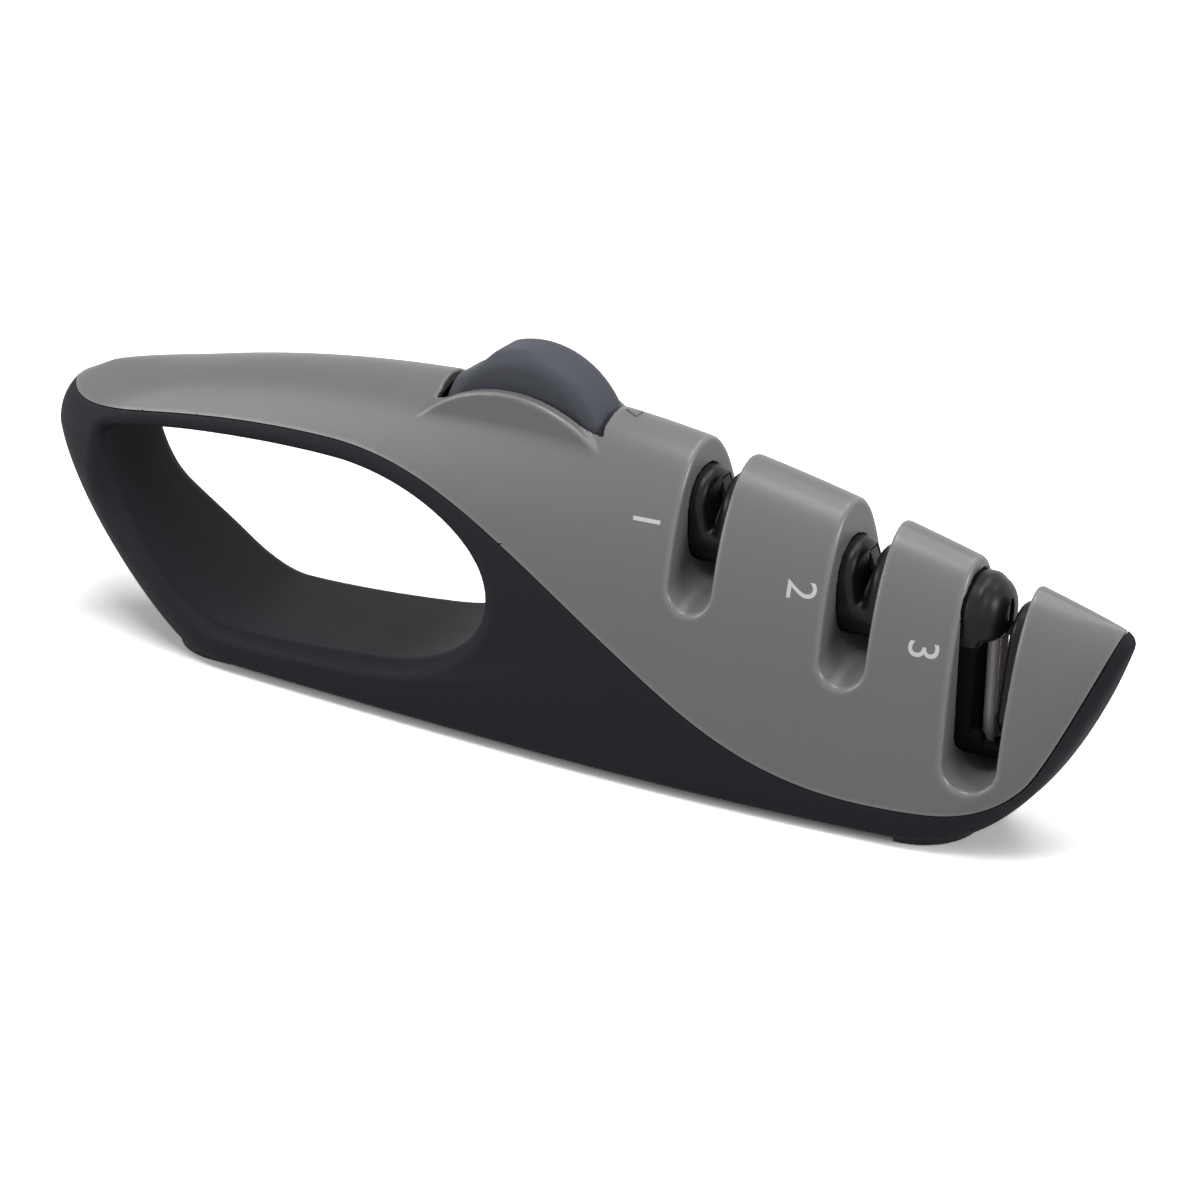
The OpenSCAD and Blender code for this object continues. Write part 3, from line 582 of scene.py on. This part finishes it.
# %% Lines of the body
crest_x, crest_z = -8.0, 72.8
handle_r = 345
tail_lift = 1.4
ride_z = 1.8
crown_line = arc_path([(crest_x, crest_z), (30, crest_z), (65, 65.2), (125.5, 48.2)], 300)
strut_line = arc_path([(-124.9, 43.5), (-121.8, 31), (-103.8, 8.5), (-93, ride_z)], 200)[::-1]
nose_line = arc_path([(96, ride_z), (108.5, 6.3), (119.7, 27.6), (125.2, 47.8)], 200)
corner_angle = np.radians(np.linspace(180, 115, 50))
tail_corner = np.c_[-109.5 + 15.4 * np.cos(corner_angle), 43.5 + 13.8 * np.sin(corner_angle)]
tail_up = np.linspace(0, 20, 80)[1:]
tail_top = tail_corner[-1] + np.c_[20 * (1 - np.exp(-2.393 * tail_up / 20)), tail_up]
tail_line = np.concatenate([strut_line, tail_corner[1:], tail_top])


def crown_at(x):
    """Height of the top line."""
    rear = crest_z - handle_r + np.sqrt(handle_r**2 - (x - crest_x) ** 2)
    rear = rear + tail_lift * ease((-80 - x) / 32)
    return np.where(x < crest_x, rear, np.interp(x, crown_line[:, 0], crown_line[:, 1]))


def tail_at(z):
    """Where the body ends at the tail."""
    return np.interp(z, tail_line[:, 1], tail_line[:, 0])


def nose_at(z):
    """Where the body ends at the nose, with its top corner drawn in."""
    tip = np.clip((z - 45.4) / 3.6, 0, 1)
    return np.interp(z, nose_line[:, 1], nose_line[:, 0]) - 1.9 * tip * tip


# %% Field of the outer form
widest_x, half_w = 8, 19.49
tail_round, nose_round = 24, 16
arch_foot, arch_power = 2, 2.7
end_edge = 0.8


def side_shape(x, z):
    """Half width on the ground and how far up the arch a height is."""
    taper = np.where(x > widest_x, 0.00077, 0.00025)
    plan = half_w - taper * (x - widest_x) ** 2
    tail = np.clip((x - tail_at(z)) / tail_round, 2e-4, 1)
    nose = np.clip((nose_at(z) - x) / nose_round, 2e-4, 1)
    width = plan * np.sqrt(1 - (1 - tail) ** 2) * (1 - (1 - nose) ** 3) ** (1 / 3)
    rise = np.clip((z - arch_foot) / (crown_at(x) - arch_foot), 0, None) ** arch_power
    return np.maximum(width, 0.05), rise


def arch_value(y, width, rise):
    """Above 0 outside the arch and below 0 inside it."""
    return np.sqrt((y / width) ** 2 + rise + 1e-6) - 1


def body_field(x, y, z, h=0.05):
    """Distance to the outer form of the body."""
    width, rise = side_shape(x, z)
    value = arch_value(y, width, rise)
    across = y / (width * width * (value + 1))
    ahead = arch_value(y, *side_shape(x + h, z)) - arch_value(y, *side_shape(x - h, z))
    above = arch_value(y, *side_shape(x, z + h)) - arch_value(y, *side_shape(x, z - h))
    steep = np.sqrt(across**2 + (ahead / (2 * h)) ** 2 + (above / (2 * h)) ** 2)
    skin = value / np.maximum(steep, 0.012)
    ends = 0.8 * within(x - nose_at(z), tail_at(z) - x)
    return cut_round(cut_round(skin, ends, end_edge), ride_z - z, 1.5)


half_at_dial = float(side_shape(np.array(0.0), np.array(10.0))[0])
print("half width at the dial:", round(half_at_dial, 2), "mm")

# %% [markdown]
# ## The parting line
# The grey shell and the dark base meet on a long S curve. It runs under the shell along the
# handle, sweeps down in front of the loop, follows the foot of the body and climbs the nose. It
# is one curve seen from the side, so both sides of the body match.

# %% Parting line
parting_line = arc_path(
    [
        (-121.3, 57.5), (-120.6, 53.6), (-120.2, 51.4), (-113, 51.1),
        (-100, 50.8), (-78, 57.4), (-45, 57.6),
        (-19, 57.8), (-1, 45.9), (32, 24.3),
        (45, 15.9), (58, 8), (80, 8),
        (94, 8), (103, 9), (109, 17),
        (112.3, 21.8), (118.2, 36), (124.0, 52),
    ],
    120,
)
parting_x = np.arange(-127, 128, 0.1)
parting_z = np.interp(parting_x, parting_line[:, 0], parting_line[:, 1])
parting_z += 3.0 * np.clip(-121.3 - parting_x, 0, None)
parting_slope = np.gradient(parting_z, 0.1)


def above_parting(x, z):
    """Distance above the parting line, negative below it."""
    rise = z - np.interp(x, parting_x, parting_z)
    return rise / np.sqrt(1 + np.interp(x, parting_x, parting_slope) ** 2)


# %% [markdown]
# ## The hand loop
# The loop is a large leaf shaped hole with a soft rim all round. Its outline is drawn once from
# the side, and the distance to it is worked out on a fine map, because the skin asks for it many
# thousand times.

# %% Distance map of the loop outline
loop_line = arc_path(
    [
        (-103, 47.5), (-92, 50.3), (-65, 53.2), (-45, 53),
        (-26, 53.2), (-5, 44), (-5, 32),
        (-5, 22), (-17, 14.2), (-32, 12.4),
        (-44, 11), (-62, 9.4), (-72, 9.8),
        (-82, 10.2), (-91, 19.5), (-100, 29.5),
        (-103.5, 34.1), (-106, 38.5), (-106.5, 42.5),
        (-106.9, 45.5), (-106, 47), (-103, 47.5),
    ],
    40,
)
map_step = 0.5
map_x = np.arange(-132, 40, map_step)
map_z = np.arange(-12, 84, map_step)


def outline_distance(line, px, pz):
    """Distance from points to a closed outline, negative inside it."""
    best = np.full(px.shape, 1e9)
    odd = np.zeros(px.shape, bool)
    for (ax, az), (bx, bz) in zip(line, np.roll(line, -1, axis=0)):
        dx, dz = bx - ax, bz - az
        size = dx * dx + dz * dz
        if size < 1e-12:
            continue
        t = np.clip(((px - ax) * dx + (pz - az) * dz) / size, 0, 1)
        best = np.minimum(best, np.hypot(px - ax - t * dx, pz - az - t * dz))
        if dz != 0:
            odd ^= ((az > pz) != (bz > pz)) & (px < ax + (pz - az) * dx / dz)
    return np.where(odd, -best, best)


loop_map = outline_distance(loop_line, *np.meshgrid(map_x, map_z, indexing="ij"))


def cubic_weights(t):
    """Weights of four neighbours for a smooth curve through the middle two."""
    return (
        0.5 * (-(t**3) + 2 * t**2 - t),
        0.5 * (3 * t**3 - 5 * t**2 + 2),
        0.5 * (-3 * t**3 + 4 * t**2 + t),
        0.5 * (t**3 - t**2),
    )


def loop_distance(x, z):
    """Distance to the loop outline, read smoothly from the map."""
    u = np.clip((x - map_x[0]) / map_step, 1, len(map_x) - 3)
    v = np.clip((z - map_z[0]) / map_step, 1, len(map_z) - 3)
    i, j = np.floor(u).astype(int), np.floor(v).astype(int)
    wu, wv = cubic_weights(u - i), cubic_weights(v - j)
    total = 0.0
    for a in range(4):
        for b in range(4):
            total = total + wu[a] * wv[b] * loop_map[i + a - 1, j + b - 1]
    return total


print("loop outline of", len(loop_line), "points")

# %% [markdown]
# ## Knife slots
# Each slot is an upright U that runs across the body. Its floor slopes down to both sides, so
# filings fall out and a long blade can be drawn level. A slot is wider at the top on its nose
# side. The cut is a field too, so its rim gets the fine polished radius that the mould gives.

# %% Slot field
# Place along the body, half width, height of the outer lip, slope of the floor, lean of one wall
SLOTS = {
    "coarse": (40.8, 4.5, 39.3, 17.0, 1.2),
    "fine": (72.7, 4.5, 30.8, 20.0, 1.2),
    "scissor": (98.7, 5.1, 14.6, 12.0, 2.6),
}


def half_width_at(x, z):
    """Half width of the body at one height."""
    width, rise = side_shape(np.float64(x), np.float64(z))
    return float(width * np.sqrt(1 - rise))


def slot_field(name, x, y, z):
    """Distance to one knife slot, negative in the open space."""
    middle, r, lip, tilt, lean = SLOTS[name]
    lip_y = half_width_at(middle, lip)
    t = math.radians(tilt)
    along = x - middle
    up = (z - lip) * math.cos(t) - (lip_y - np.abs(y)) * math.sin(t)
    round_floor = np.hypot(along, up - r) - r
    walls = within(-r - along, along - r - lean * (up - r) / 60)
    return np.where(up < r, round_floor, walls)


def slot_floor(name):
    """Height of the slot floor in the middle of the body."""
    middle, r, lip, tilt, lean = SLOTS[name]
    return lip + half_width_at(middle, lip) * math.tan(math.radians(tilt))


for name in SLOTS:
    print(name, "slot floor at", round(slot_floor(name), 2), "mm")

# %% [markdown]
# ## The grey shell
# The shell is a hollow moulding about 2.4 mm thick. It carries a raised collar round the dial
# opening, which stands up as a thin crescent on each side, and the three slots. The hollow is
# made as the same field moved inwards, so the wall is even, and it is left full round the slots
# and beside the dial, where the real moulding has ribs.

# %% Shell field
wall = 2.4
seam = 0.3
slot_rim = 0.75
shell_hollow = (-92, 108)
opening_half = 6.65
seat_gap = 0.2
dial_x, dial_z, dial_r, dial_half = -2.5, 61.8, 19.99, 6.3
collar_x, collar_z, collar_r, collar_half = -3.6, 43.6, 30, 9.3


def rounded_bar(along, across, half_length, half_width, radius):
    """Distance to a bar with rounded corners, seen along its third direction."""
    a = np.abs(along) - half_length + radius
    b = np.abs(across) - half_width + radius
    return np.minimum(np.maximum(a, b), 0) + np.hypot(np.maximum(a, 0), np.maximum(b, 0)) - radius


def collar_field(x, y, z):
    """Raised band on both sides of the dial opening."""
    arch = np.hypot(x - collar_x, z - collar_z) - collar_r
    band = cut_round(arch, np.abs(y) - collar_half, 0.55)
    return within(band, 60 - z)


def stadium(y, z, low, high, r):
    """Distance to an upright strip with round ends."""
    mid, half = (low + high) / 2, (high - low) / 2
    return np.hypot(y, np.maximum(np.abs(z - mid) - half + r, 0)) - r


def cartridge_prism(x, y, z, middle, low, high, half_length, r):
    """A bar along the body with a stadium section."""
    return within(stadium(y, z, low, high, r), np.abs(x - middle) - half_length)


# Place along the body, bottom, top, half length, radius
CARTRIDGES = {}
cartridge_middle = 10.3
pin_drop, pin_r, arm_room = 4.5, 0.95, 4.7
for name in ("coarse", "fine"):
    floor_z = slot_floor(name)
    CARTRIDGES[name] = (SLOTS[name][0], floor_z + 0.15, floor_z + 19.35, 11.0, 7.3)


def shell_field(x, y, z):
    """The grey upper shell."""
    body = body_field(x, y, z)
    skin = join_round(body, collar_field(x, y, z), 0.8)
    slots = functools.reduce(np.minimum, [slot_field(name, x, y, z) for name in SLOTS])
    ribs = within(np.abs(x - dial_x) - 5.5, 57.8 - z, np.abs(y) - 9)
    hollow = within(body + wall, wall - slots, -ribs, shell_hollow[0] - x, x - shell_hollow[1])
    form = cut_round(cut(skin, hollow), -slots, slot_rim)
    for middle, low, high, half_length, r in CARTRIDGES.values():
        ends = (middle, low - seat_gap, high + seat_gap, half_length + 0.5)
        form = cut(form, cartridge_prism(x, y, z, *ends, r + seat_gap))
    form = cut(form, scissor_seat_field(x, y, z))
    opening = within(rounded_bar(x + 2.4, y, 18.9, opening_half, 2.6), 63.5 - z)
    wheel = within(np.hypot(x - dial_x, z - dial_z) - dial_r - 0.35, np.abs(y) - opening_half)
    form = cut_round(form, -np.minimum(opening, wheel), 0.45)
    return within(form, shell_edge(x, y, z))


def shell_edge(x, y, z):
    """Lower edge surface of the shell, just above the parting line."""
    return seam / 2 - above_parting(x, z)


# %% [markdown]
# The scissor stage sits in a pocket in the rear wall of its slot, and its web lies in the slot
# floor, so the shell gets a seat for it with a hair of clearance.

# %% Seat of the scissor stage
liner_left = SLOTS["scissor"][0] - SLOTS["scissor"][1]
liner_low = slot_floor("scissor") + 0.15
liner_high = 54.0
liner_r = 7.5
web_end = 9.4
guard_start, guard_end, guard_high, guard_r = 5, 12.6, 50, 5.6


def liner_prism(x, y, z, start, end, grow):
    """Distance to a length of the liner's section."""
    middle, half = liner_left + (start + end) / 2, (end - start) / 2 + grow
    low, high = liner_low - grow, liner_high + grow
    return cartridge_prism(x, y, z, middle, low, high, half, liner_r + grow)


def guard_prism(x, y, z, grow):
    """Distance to the bar that the guard is cut from."""
    middle = liner_left + (guard_start + guard_end) / 2
    half = (guard_end - guard_start) / 2 + grow
    low, high = liner_low + 5.3 - grow, guard_high + grow
    return cartridge_prism(x, y, z, middle, low, high, half, guard_r + grow)


def scissor_seat_field(x, y, z):
    """Distance to the room for the scissor stage, negative in it."""
    pocket = liner_prism(x, y, z, -2.2, 3.1, seat_gap)
    web = within(liner_prism(x, y, z, 0, web_end, seat_gap), z - liner_low - 5)
    guard = within(guard_prism(x, y, z, seat_gap), liner_left + 8.2 - x)
    return np.minimum(np.minimum(pocket, web), guard)


skin_cell = 0.56
upper_shell = field_mesh(
    "upper_shell_skin", shell_field, (-123, -20, 6), (125, 20, 76), skin_cell,
    crease=(body_field, shell_edge),
)
upper_shell.data.materials.append(grey_shell)
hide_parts("upper_shell")
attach(upper_shell, "housing")

# %% [markdown]
# ## The dark base
# The base is the soft touch part: the strut, the rails round the loop, the belly and a band that
# climbs the nose. The rim of the loop has a wide radius, and beside the loop's lower end the
# side is scooped a little, which leaves a soft ridge that fades towards the nose.

# %% Base field
scoop_line = arc_path(
    [
        (-112, 37), (-104, 33), (-96, 24), (-88, 17),
        (-78, 9), (-64, 7.6), (-46, 7.6),
        (-20, 7.6), (-4, 15), (26, 24),
    ],
    60,
)
scoop_x = np.arange(-113, 60, 0.25)
scoop_z = np.interp(scoop_x, scoop_line[:, 0], scoop_line[:, 1])
room_x = 43.5
base_hollow = (3, 98)


def scoop_depth(x, z):
    """How far the side is pressed in between the loop and the ridge below it."""
    across = ease((z - np.interp(x, scoop_x, scoop_z)) / 5)
    ahead = ease((22 - x) / 45)
    behind = ease((x + 100) / 25)
    below = ease((34 - z) / 14) * ease(-above_parting(x, z) / 9)
    return 0.9 * across * ahead * behind * below


def base_edge(x, y, z):
    """Upper edge surface of the base, just below the parting line."""
    return seam / 2 + above_parting(x, z)


def base_skin(x, y, z):
    """Outer surface of the base near its upper edge."""
    return body_field(x, y, z) + scoop_depth(x, z)


def base_field(x, y, z):
    """The dark base."""
    body = body_field(x, y, z)
    form = within(body + scoop_depth(x, z), base_edge(x, y, z))
    rim = 3.4 + 3.6 * ease((-88 - x) / 16) * ease((44 - z) / 14)
    form = cut_round(form, -loop_distance(x, z), rim)
    hollow = within(body + wall + 0.2, base_hollow[0] - x, x - base_hollow[1], 5.2 - z)
    belly = within(rounded_bar(x - room_x, y, 33.65, 12.15, 3.15), z - 3.8)
    room = within(rounded_bar(x - room_x, y, 25.5, 10, 3), z - 9.8)
    feet = [foot_field(foot, x, y, z, 0.15) for foot in FEET.values()]
    return cut(form, hollow, belly, room, *feet)


# %% [markdown]
# ## Rubber feet
# Two thin pads are let into the underside. Each one is round towards its own end of the body,
# like the body itself, and square with small corners on the other side. Their edges are soft,
# because moulded rubber has no sharp ones.

# %% Foot field
# Centre, radius of the round end, length of the square end, direction of the square end
FEET = {"rear_foot": (-77.5, 14.7, 8.0, 1), "front_foot": (84.2, 12.6, 1.2, -1)}
foot_top = 2.55


def foot_field(foot, x, y, z, grow, soft=0.0):
    """A pad under the body; soft rounds its lower edge."""
    middle, r, length, way = foot
    along = (x - middle) * way
    disc = np.hypot(np.minimum(along, 0), y) - r
    square = rounded_bar(along - length / 2 + 4, y, length / 2 + 4, r, 3)
    plan = np.where(along < 0, disc, within(square, -along - 8)) - grow
    slab = within(z - foot_top - grow, -z)
    return cut_round(plan, slab, soft) if soft else within(plan, slab)


dark_body = field_mesh(
    "dark_base_skin", base_field, (-125.5, -20, 1), (125.5, 20, 60), skin_cell,
    crease=(base_skin, base_edge),
)
dark_body.data.materials.append(dark_base)
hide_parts("base_body")
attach(dark_body, "housing")

for label, foot in FEET.items():
    middle, r, length, way = foot
    ends = sorted((middle - way * r, middle + way * length))
    pad = field_mesh(
        label + "_pad",
        lambda x, y, z: foot_field(foot, x, y, z, 0.0, 0.5),
        (ends[0], -r, 0), (ends[1], r, foot_top), 0.5,
    )
    pad.data.materials.append(rubber)
    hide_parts(label)
    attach(pad, "housing")

# %% [markdown]
# ## Cartridges of the coarse and fine stages
# A cartridge looks like a bar of soap that stands through the slot, cut across by a narrow gap
# for the blade. Inside it is a room for the two crossing arms: the near arm leans into the nose
# side cheek and the far one into the other, so each cheek is open on one half only. The cheek
# edges are rounded, so the blade slides in. A finer grid is used, because the piece is small.


# %% Cartridge field
def cartridge_field(name, x, y, z):
    """One cartridge with its gap, the room for its arms and the hole for its pin."""
    middle, low, high, half_length, r = CARTRIDGES[name]
    up = z - low - cartridge_middle
    along = x - middle
    bar = cartridge_prism(x, y, z, middle, low, high, half_length, r)
    gap_half = np.interp(up, [-1.6, 3.0, 20.6], [0.4, 1.4, 1.7])
    gap = cut_round(np.abs(along) - gap_half, -1.6 - up, 0.3)
    form = cut_round(bar, -gap, 2.0)
    above_pin = up + pin_drop
    across = np.abs(y) - arm_room
    low_room = within(np.abs(along) - 9.2, across, np.abs(above_pin) - 2.8)
    high_room = within(np.abs(along) - 1.6, across)
    for way in (-1, 1):
        lane = within(way * along - 6.2, np.abs(way * y + 2.6) - 2.15, -way * along)
        high_room = np.minimum(high_room, lane)
    high_room = within(high_room, -above_pin, above_pin - 11.1)
    pin = within(np.hypot(along, above_pin) - pin_r, np.abs(y) - 5.7)
    form = cut(form, low_room, high_room, pin)
    if name == "coarse":
        form = cut(form, within(np.abs(y) - 1.0, np.abs(above_pin) - 3.5))
    return form


for name, (middle, low, high, half_length, r) in CARTRIDGES.items():
    cartridge = field_mesh(
        name + "_cartridge_bar",
        lambda x, y, z: cartridge_field(name, x, y, z),
        (middle - half_length, -r, low), (middle + half_length, r, high), 0.36,
    )
    cartridge.data.materials.append(black_insert)
    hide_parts(name + "_cartridge")
    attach(cartridge, "housing")

# %% [markdown]
# ## Scissor stage
# The scissor stage is a tall liner against the rear wall of its slot. A block with round
# shoulders stands out at the top, a web closes the bottom, and a slanted bar ties the block to
# the guard on the nose side. Scissor blades are drawn over the two upright ceramic rods between.
# Below the block the liner is matt and painted darker, a painted shade for the shadow deep in the
# slot.

# %% Liner, guard and bar
bar_x, bar_z, bar_tilt = liner_left + 6.9, 44.2, math.radians(34)
rod_x, rod_y, rod_low, rod_high = liner_left + 4.6, 2, liner_low + 3, 43.5
rod_r, play = 1.27, 0.05
block_foot = 41.8


def bar_axes(x, z):
    """Places along the slanted bar and across it."""
    c, s = math.cos(bar_tilt), math.sin(bar_tilt)
    return (x - bar_x) * c + (z - bar_z) * s, (z - bar_z) * c - (x - bar_x) * s


def bar_box(x, y, z, grow):
    """Distance to a box along the bar."""
    a, b = bar_axes(x, z)
    return within(np.abs(a) - 4.3 - grow, np.abs(b) - 1.1 - grow, np.abs(y) - 0.7 - grow)


def trough(x, y, z, r):
    """The open space above the rounded bottom of the stage."""
    return cartridge_prism(x, y, z, liner_left + 6, liner_low + 7.5 - r, liner_high + 20, 12, r)


def liner_field(x, y, z):
    """Liner with its block and web."""
    height = liner_high - liner_low
    liner = cut_round(liner_prism(x, y, z, -2.2, 6, 0), x - liner_left - 3.1, 0.9)
    block = stadium(y, z, liner_low + 0.2, liner_high - 0.2, 7.2)
    block = cut_round(block, x - liner_left - 6.8, 4.6)
    block = within(cut_round(block, 42.9 - z, 1.4), liner_left + 1 - x)
    web = cut_round(liner_prism(x, y, z, 0, web_end, 0), z - liner_low - 5.2, 0.8)
    web = cut_round(web, -trough(x, y, z, 5.3), 0.8)
    step = cut_round(liner_prism(x, y, z, 0, 5.4, 0), z - liner_low - 7.6, 2.0)
    step = cut_round(step, -trough(x, y, z, 4.2), 1.6)
    form = join_round(np.minimum(join_round(liner, block, 1.2), step), web, 0.5)
    spot = np.hypot(y, (z - liner_low - height / 2 - 11.5) / 2.8) - 1
    spot = within(spot * 1.2, liner_left + 6.4 - x)
    form = cut_round(form, -spot, 0.2)
    ends = np.abs(z - (rod_low + rod_high) / 2) - (rod_high - rod_low) / 2 - play
    for side in (-1, 1):
        form = cut(form, within(np.hypot(x - rod_x, y - side * rod_y) - rod_r - play, ends))
    return cut(form, bar_box(x, y, z, play))


def guard_field(x, y, z):
    """Cheek on the nose side."""
    left = liner_left + np.interp(z, [22, 43.5, 50], [6.6, 8.4, 9.0])
    form = cut_round(guard_prism(x, y, z, 0), left - x, 1.1)
    return cut(within(form, x - liner_left - guard_end), bar_box(x, y, z, play))


def bar_field(x, y, z):
    """Slanted bar between block and guard."""
    return cut_round(bar_box(x, y, z, 0), bar_axes(x, z)[1] - 1.1, 0.5)


STAGE = (
    ("scissor_liner", "scissor_cartridge", liner_field, (91, -8, 17), (103.5, 8, 54.5), 0.4),
    ("scissor_guard", "nose_guard", guard_field, (99.5, -6, 22), (106.5, 6, 50.5), 0.4),
    ("scissor_bar", "scissor_bridge", bar_field, (96, -1, 40.5), (105, 1, 48), 0.25),
)
for label, node, field, low, high, cell in STAGE:
    piece = field_mesh(label, field, low, high, cell)
    piece.data.materials.append(black_insert)
    if label == "scissor_liner":
        # Below the block the liner takes the darker matt finish: a painted shade for the shadow in
        # the slot.
        piece.data.materials.append(matt_painted_shade)
        for face in piece.data.polygons:
            face.material_index = int(face.center.z * 1000 < block_foot)
    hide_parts(node)
    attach(piece, "housing")

# %% [markdown]
# ## Angle dial
# The dial is part of a wheel. Only its top shows: a broad rim with very soft shoulders and a
# shallow scallop for the thumb. Below the rim the hub carries a small crank pin that pushes the
# slider, which swings the coarse jaws. Those hidden forms are kept, because they move.


# %% Dial field
wheel_r, hub_r, axle_hole, crank_drop = 19.5, 8, 1.55, 5.6
scallop_r, scallop_deep, scallop_at = 16, 1.4, 126


def dial_field(x, y, z):
    """The wheel sector with its hub and crank pin."""
    along, up = x - dial_x, z - dial_z
    radius = np.hypot(along, up)
    wheel = cut_round(radius - wheel_r, np.abs(y) - dial_half, 3.4)
    a, b = math.radians(5), math.radians(168)
    front = along * math.sin(a) - up * math.cos(a)
    sector = within(front, up * math.cos(b) - along * math.sin(b))
    rim = cut_round(wheel, sector, 0.5)
    hub = within(radius - hub_r, np.abs(y) - 5.8)
    form = join_round(rim, hub, 0.5)
    t = math.radians(scallop_at)
    reach = wheel_r - scallop_deep + scallop_r
    scallop = np.hypot(along - reach * math.cos(t), up - reach * math.sin(t)) - scallop_r
    form = cut_round(form, -scallop, 0.8)
    fork = within(np.abs(y) - 1.0, up + 2.75, np.abs(along) - 16)
    pin = within(np.hypot(along, up + crank_drop) - 1.0, np.abs(y) - 1.5)
    return np.minimum(cut(form, radius - axle_hole, fork), pin)


dial = field_mesh("dial_wheel", dial_field, (-23, -6.5, 53.5), (18, 6.5, 82), 0.45)
dial.data.materials.append(slate_dial)
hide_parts("angle_dial")
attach(dial, "dial")

# %% [markdown]
# ## Print and index mark
# A plain white numeral stands beside each slot, turned as print on such a sharpener is, so that
# it reads downwards. Each one starts as a flat letter form, is cut into small faces so that it
# can bend, and is laid on the skin of the shell. The small raised triangle beside the dial is
# laid on in the same way.


# %% Points on the skin
def skin_side(x, z):
    """Points of the body's near side at places along it and heights."""
    width, rise = side_shape(x, z)
    return np.stack([x, -width * np.sqrt(np.maximum(1 - rise, 0)), z], axis=1)


def skin_top(x, y):
    """Points of the body's top at places along it and across it."""
    width, _ = side_shape(x, np.full_like(x, 40.0))
    level = (1 - np.clip((y / width) ** 2, 0, 1)) ** (1 / arch_power)
    return np.stack([x, y, arch_foot + (crown_at(x) - arch_foot) * level], axis=1)


def outward(points):
    """Directions straight out of the skin."""
    g = slope(body_field, points, 0.08)
    return g / np.linalg.norm(g, axis=1, keepdims=True)


def surface_piece(name, form, mesh, finish):
    """Turns a form's faces outwards and makes it a piece with that finish."""
    bmesh.ops.recalc_face_normals(form, faces=form.faces[:])
    form.to_mesh(mesh)
    form.free()
    mesh.materials.clear()
    mesh.materials.append(finish)
    print(name, "has", len(mesh.polygons), "faces")
    return placed(name, mesh)


# %% Numerals
def numeral(text, middle_x, middle_z, height):
    """A printed numeral on the near side; its top points to the nose."""
    curve = bpy.data.curves.new("numeral_" + text, "FONT")
    curve.body = text
    curve.size = height * 1.4
    curve.align_x = "CENTER"
    curve.align_y = "CENTER"
    curve.resolution_u = 16
    holder = placed("letter_" + text, curve)
    bpy.context.view_layer.update()
    solved = holder.evaluated_get(bpy.context.evaluated_depsgraph_get())
    mesh = bpy.data.meshes.new_from_object(solved)
    bpy.data.objects.remove(holder)
    form = bmesh.new()
    form.from_mesh(mesh)
    for axis in ((1, 0, 0), (0, 1, 0)):
        for step in np.arange(-height, height, 0.4):
            every = form.verts[:] + form.edges[:] + form.faces[:]
            at = [step * a for a in axis]
            bmesh.ops.bisect_plane(form, geom=every, plane_co=at, plane_no=axis)
    flat = np.array([v.co[:] for v in form.verts])
    centre = skin_side(np.array([middle_x]), np.array([middle_z]))
    way = outward(centre)[0]
    squeeze = abs(way[1]) / math.hypot(way[1], way[2])
    laid = skin_side(middle_x + flat[:, 1], middle_z - flat[:, 0] * squeeze)
    laid = laid + outward(laid) * 0.03
    for vertex, place in zip(form.verts, laid):
        vertex.co = place / 1000
    piece = surface_piece("numeral_" + text, form, mesh, white_print)
    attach(piece, "housing")


for text, middle_x, middle_z in (("1", 29.9, 55.7), ("2", 63.0, 48.3), ("3", 87.7, 41.3)):
    numeral(text, middle_x, middle_z, 6.0)


# %% Raised triangle
def raised_triangle(tip_x, length, half, rise):
    """A small raised triangle on the crown whose tip points at the dial."""
    corners = np.array([(tip_x, 0.0), (tip_x + length, -half), (tip_x + length, half)])
    centre = corners.mean(axis=0)
    rings = []
    for share, lift in ((1.0, -0.05), (0.97, rise * 0.7), (0.88, rise), (0.4, rise), (0.02, rise)):
        loop = centre + (corners - centre) * share
        sides = zip(loop, np.roll(loop, -1, 0))
        loop = np.concatenate([a + (b - a) * np.linspace(0, 1, 6)[:-1, None] for a, b in sides])
        base = skin_top(loop[:, 0], loop[:, 1])
        rings.append(base + outward(base) * lift)
    n = len(rings[0])
    faces = [
        (r * n + i, r * n + (i + 1) % n, (r + 1) * n + (i + 1) % n, (r + 1) * n + i)
        for r in range(len(rings) - 1) for i in range(n)
    ]
    faces.append([(len(rings) - 1) * n + i for i in range(n)])
    mesh = bpy.data.meshes.new("index_mark")
    mesh.from_pydata((np.concatenate(rings) / 1000).tolist(), [], faces)
    form = bmesh.new()
    form.from_mesh(mesh)
    piece = surface_piece("index_mark", form, mesh, grey_shell)
    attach(piece, "housing")


raised_triangle(18.1, 3.2, 1.4, 0.35)

# %% [markdown]
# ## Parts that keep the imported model's shape
# The jaws, plates, pins, springs, screws and the bottom cover are plain machined or moulded
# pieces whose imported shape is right. They only need their finish.

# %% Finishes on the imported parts
FINISH = {"bottom_cover": dark_base, "scissor_rods": ceramic}
for name in ("cover_screws", "dial_axle", "detent_spring", "cam_slider"):
    FINISH[name] = steel
for name, plate in (("coarse", grit), ("fine", dark_ceramic)):
    FINISH[name + "_pivot"] = steel
    for side in ("left", "right"):
        FINISH[f"{name}_arm_{side}"] = black_insert
        FINISH[f"{name}_plate_{side}"] = plate
for side in ("left", "right"):
    FINISH["fine_spring_" + side] = steel
for node, finish in FINISH.items():
    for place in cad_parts[node].material_slots:
        place.material = finish
print("finished", len(FINISH), "packed parts")
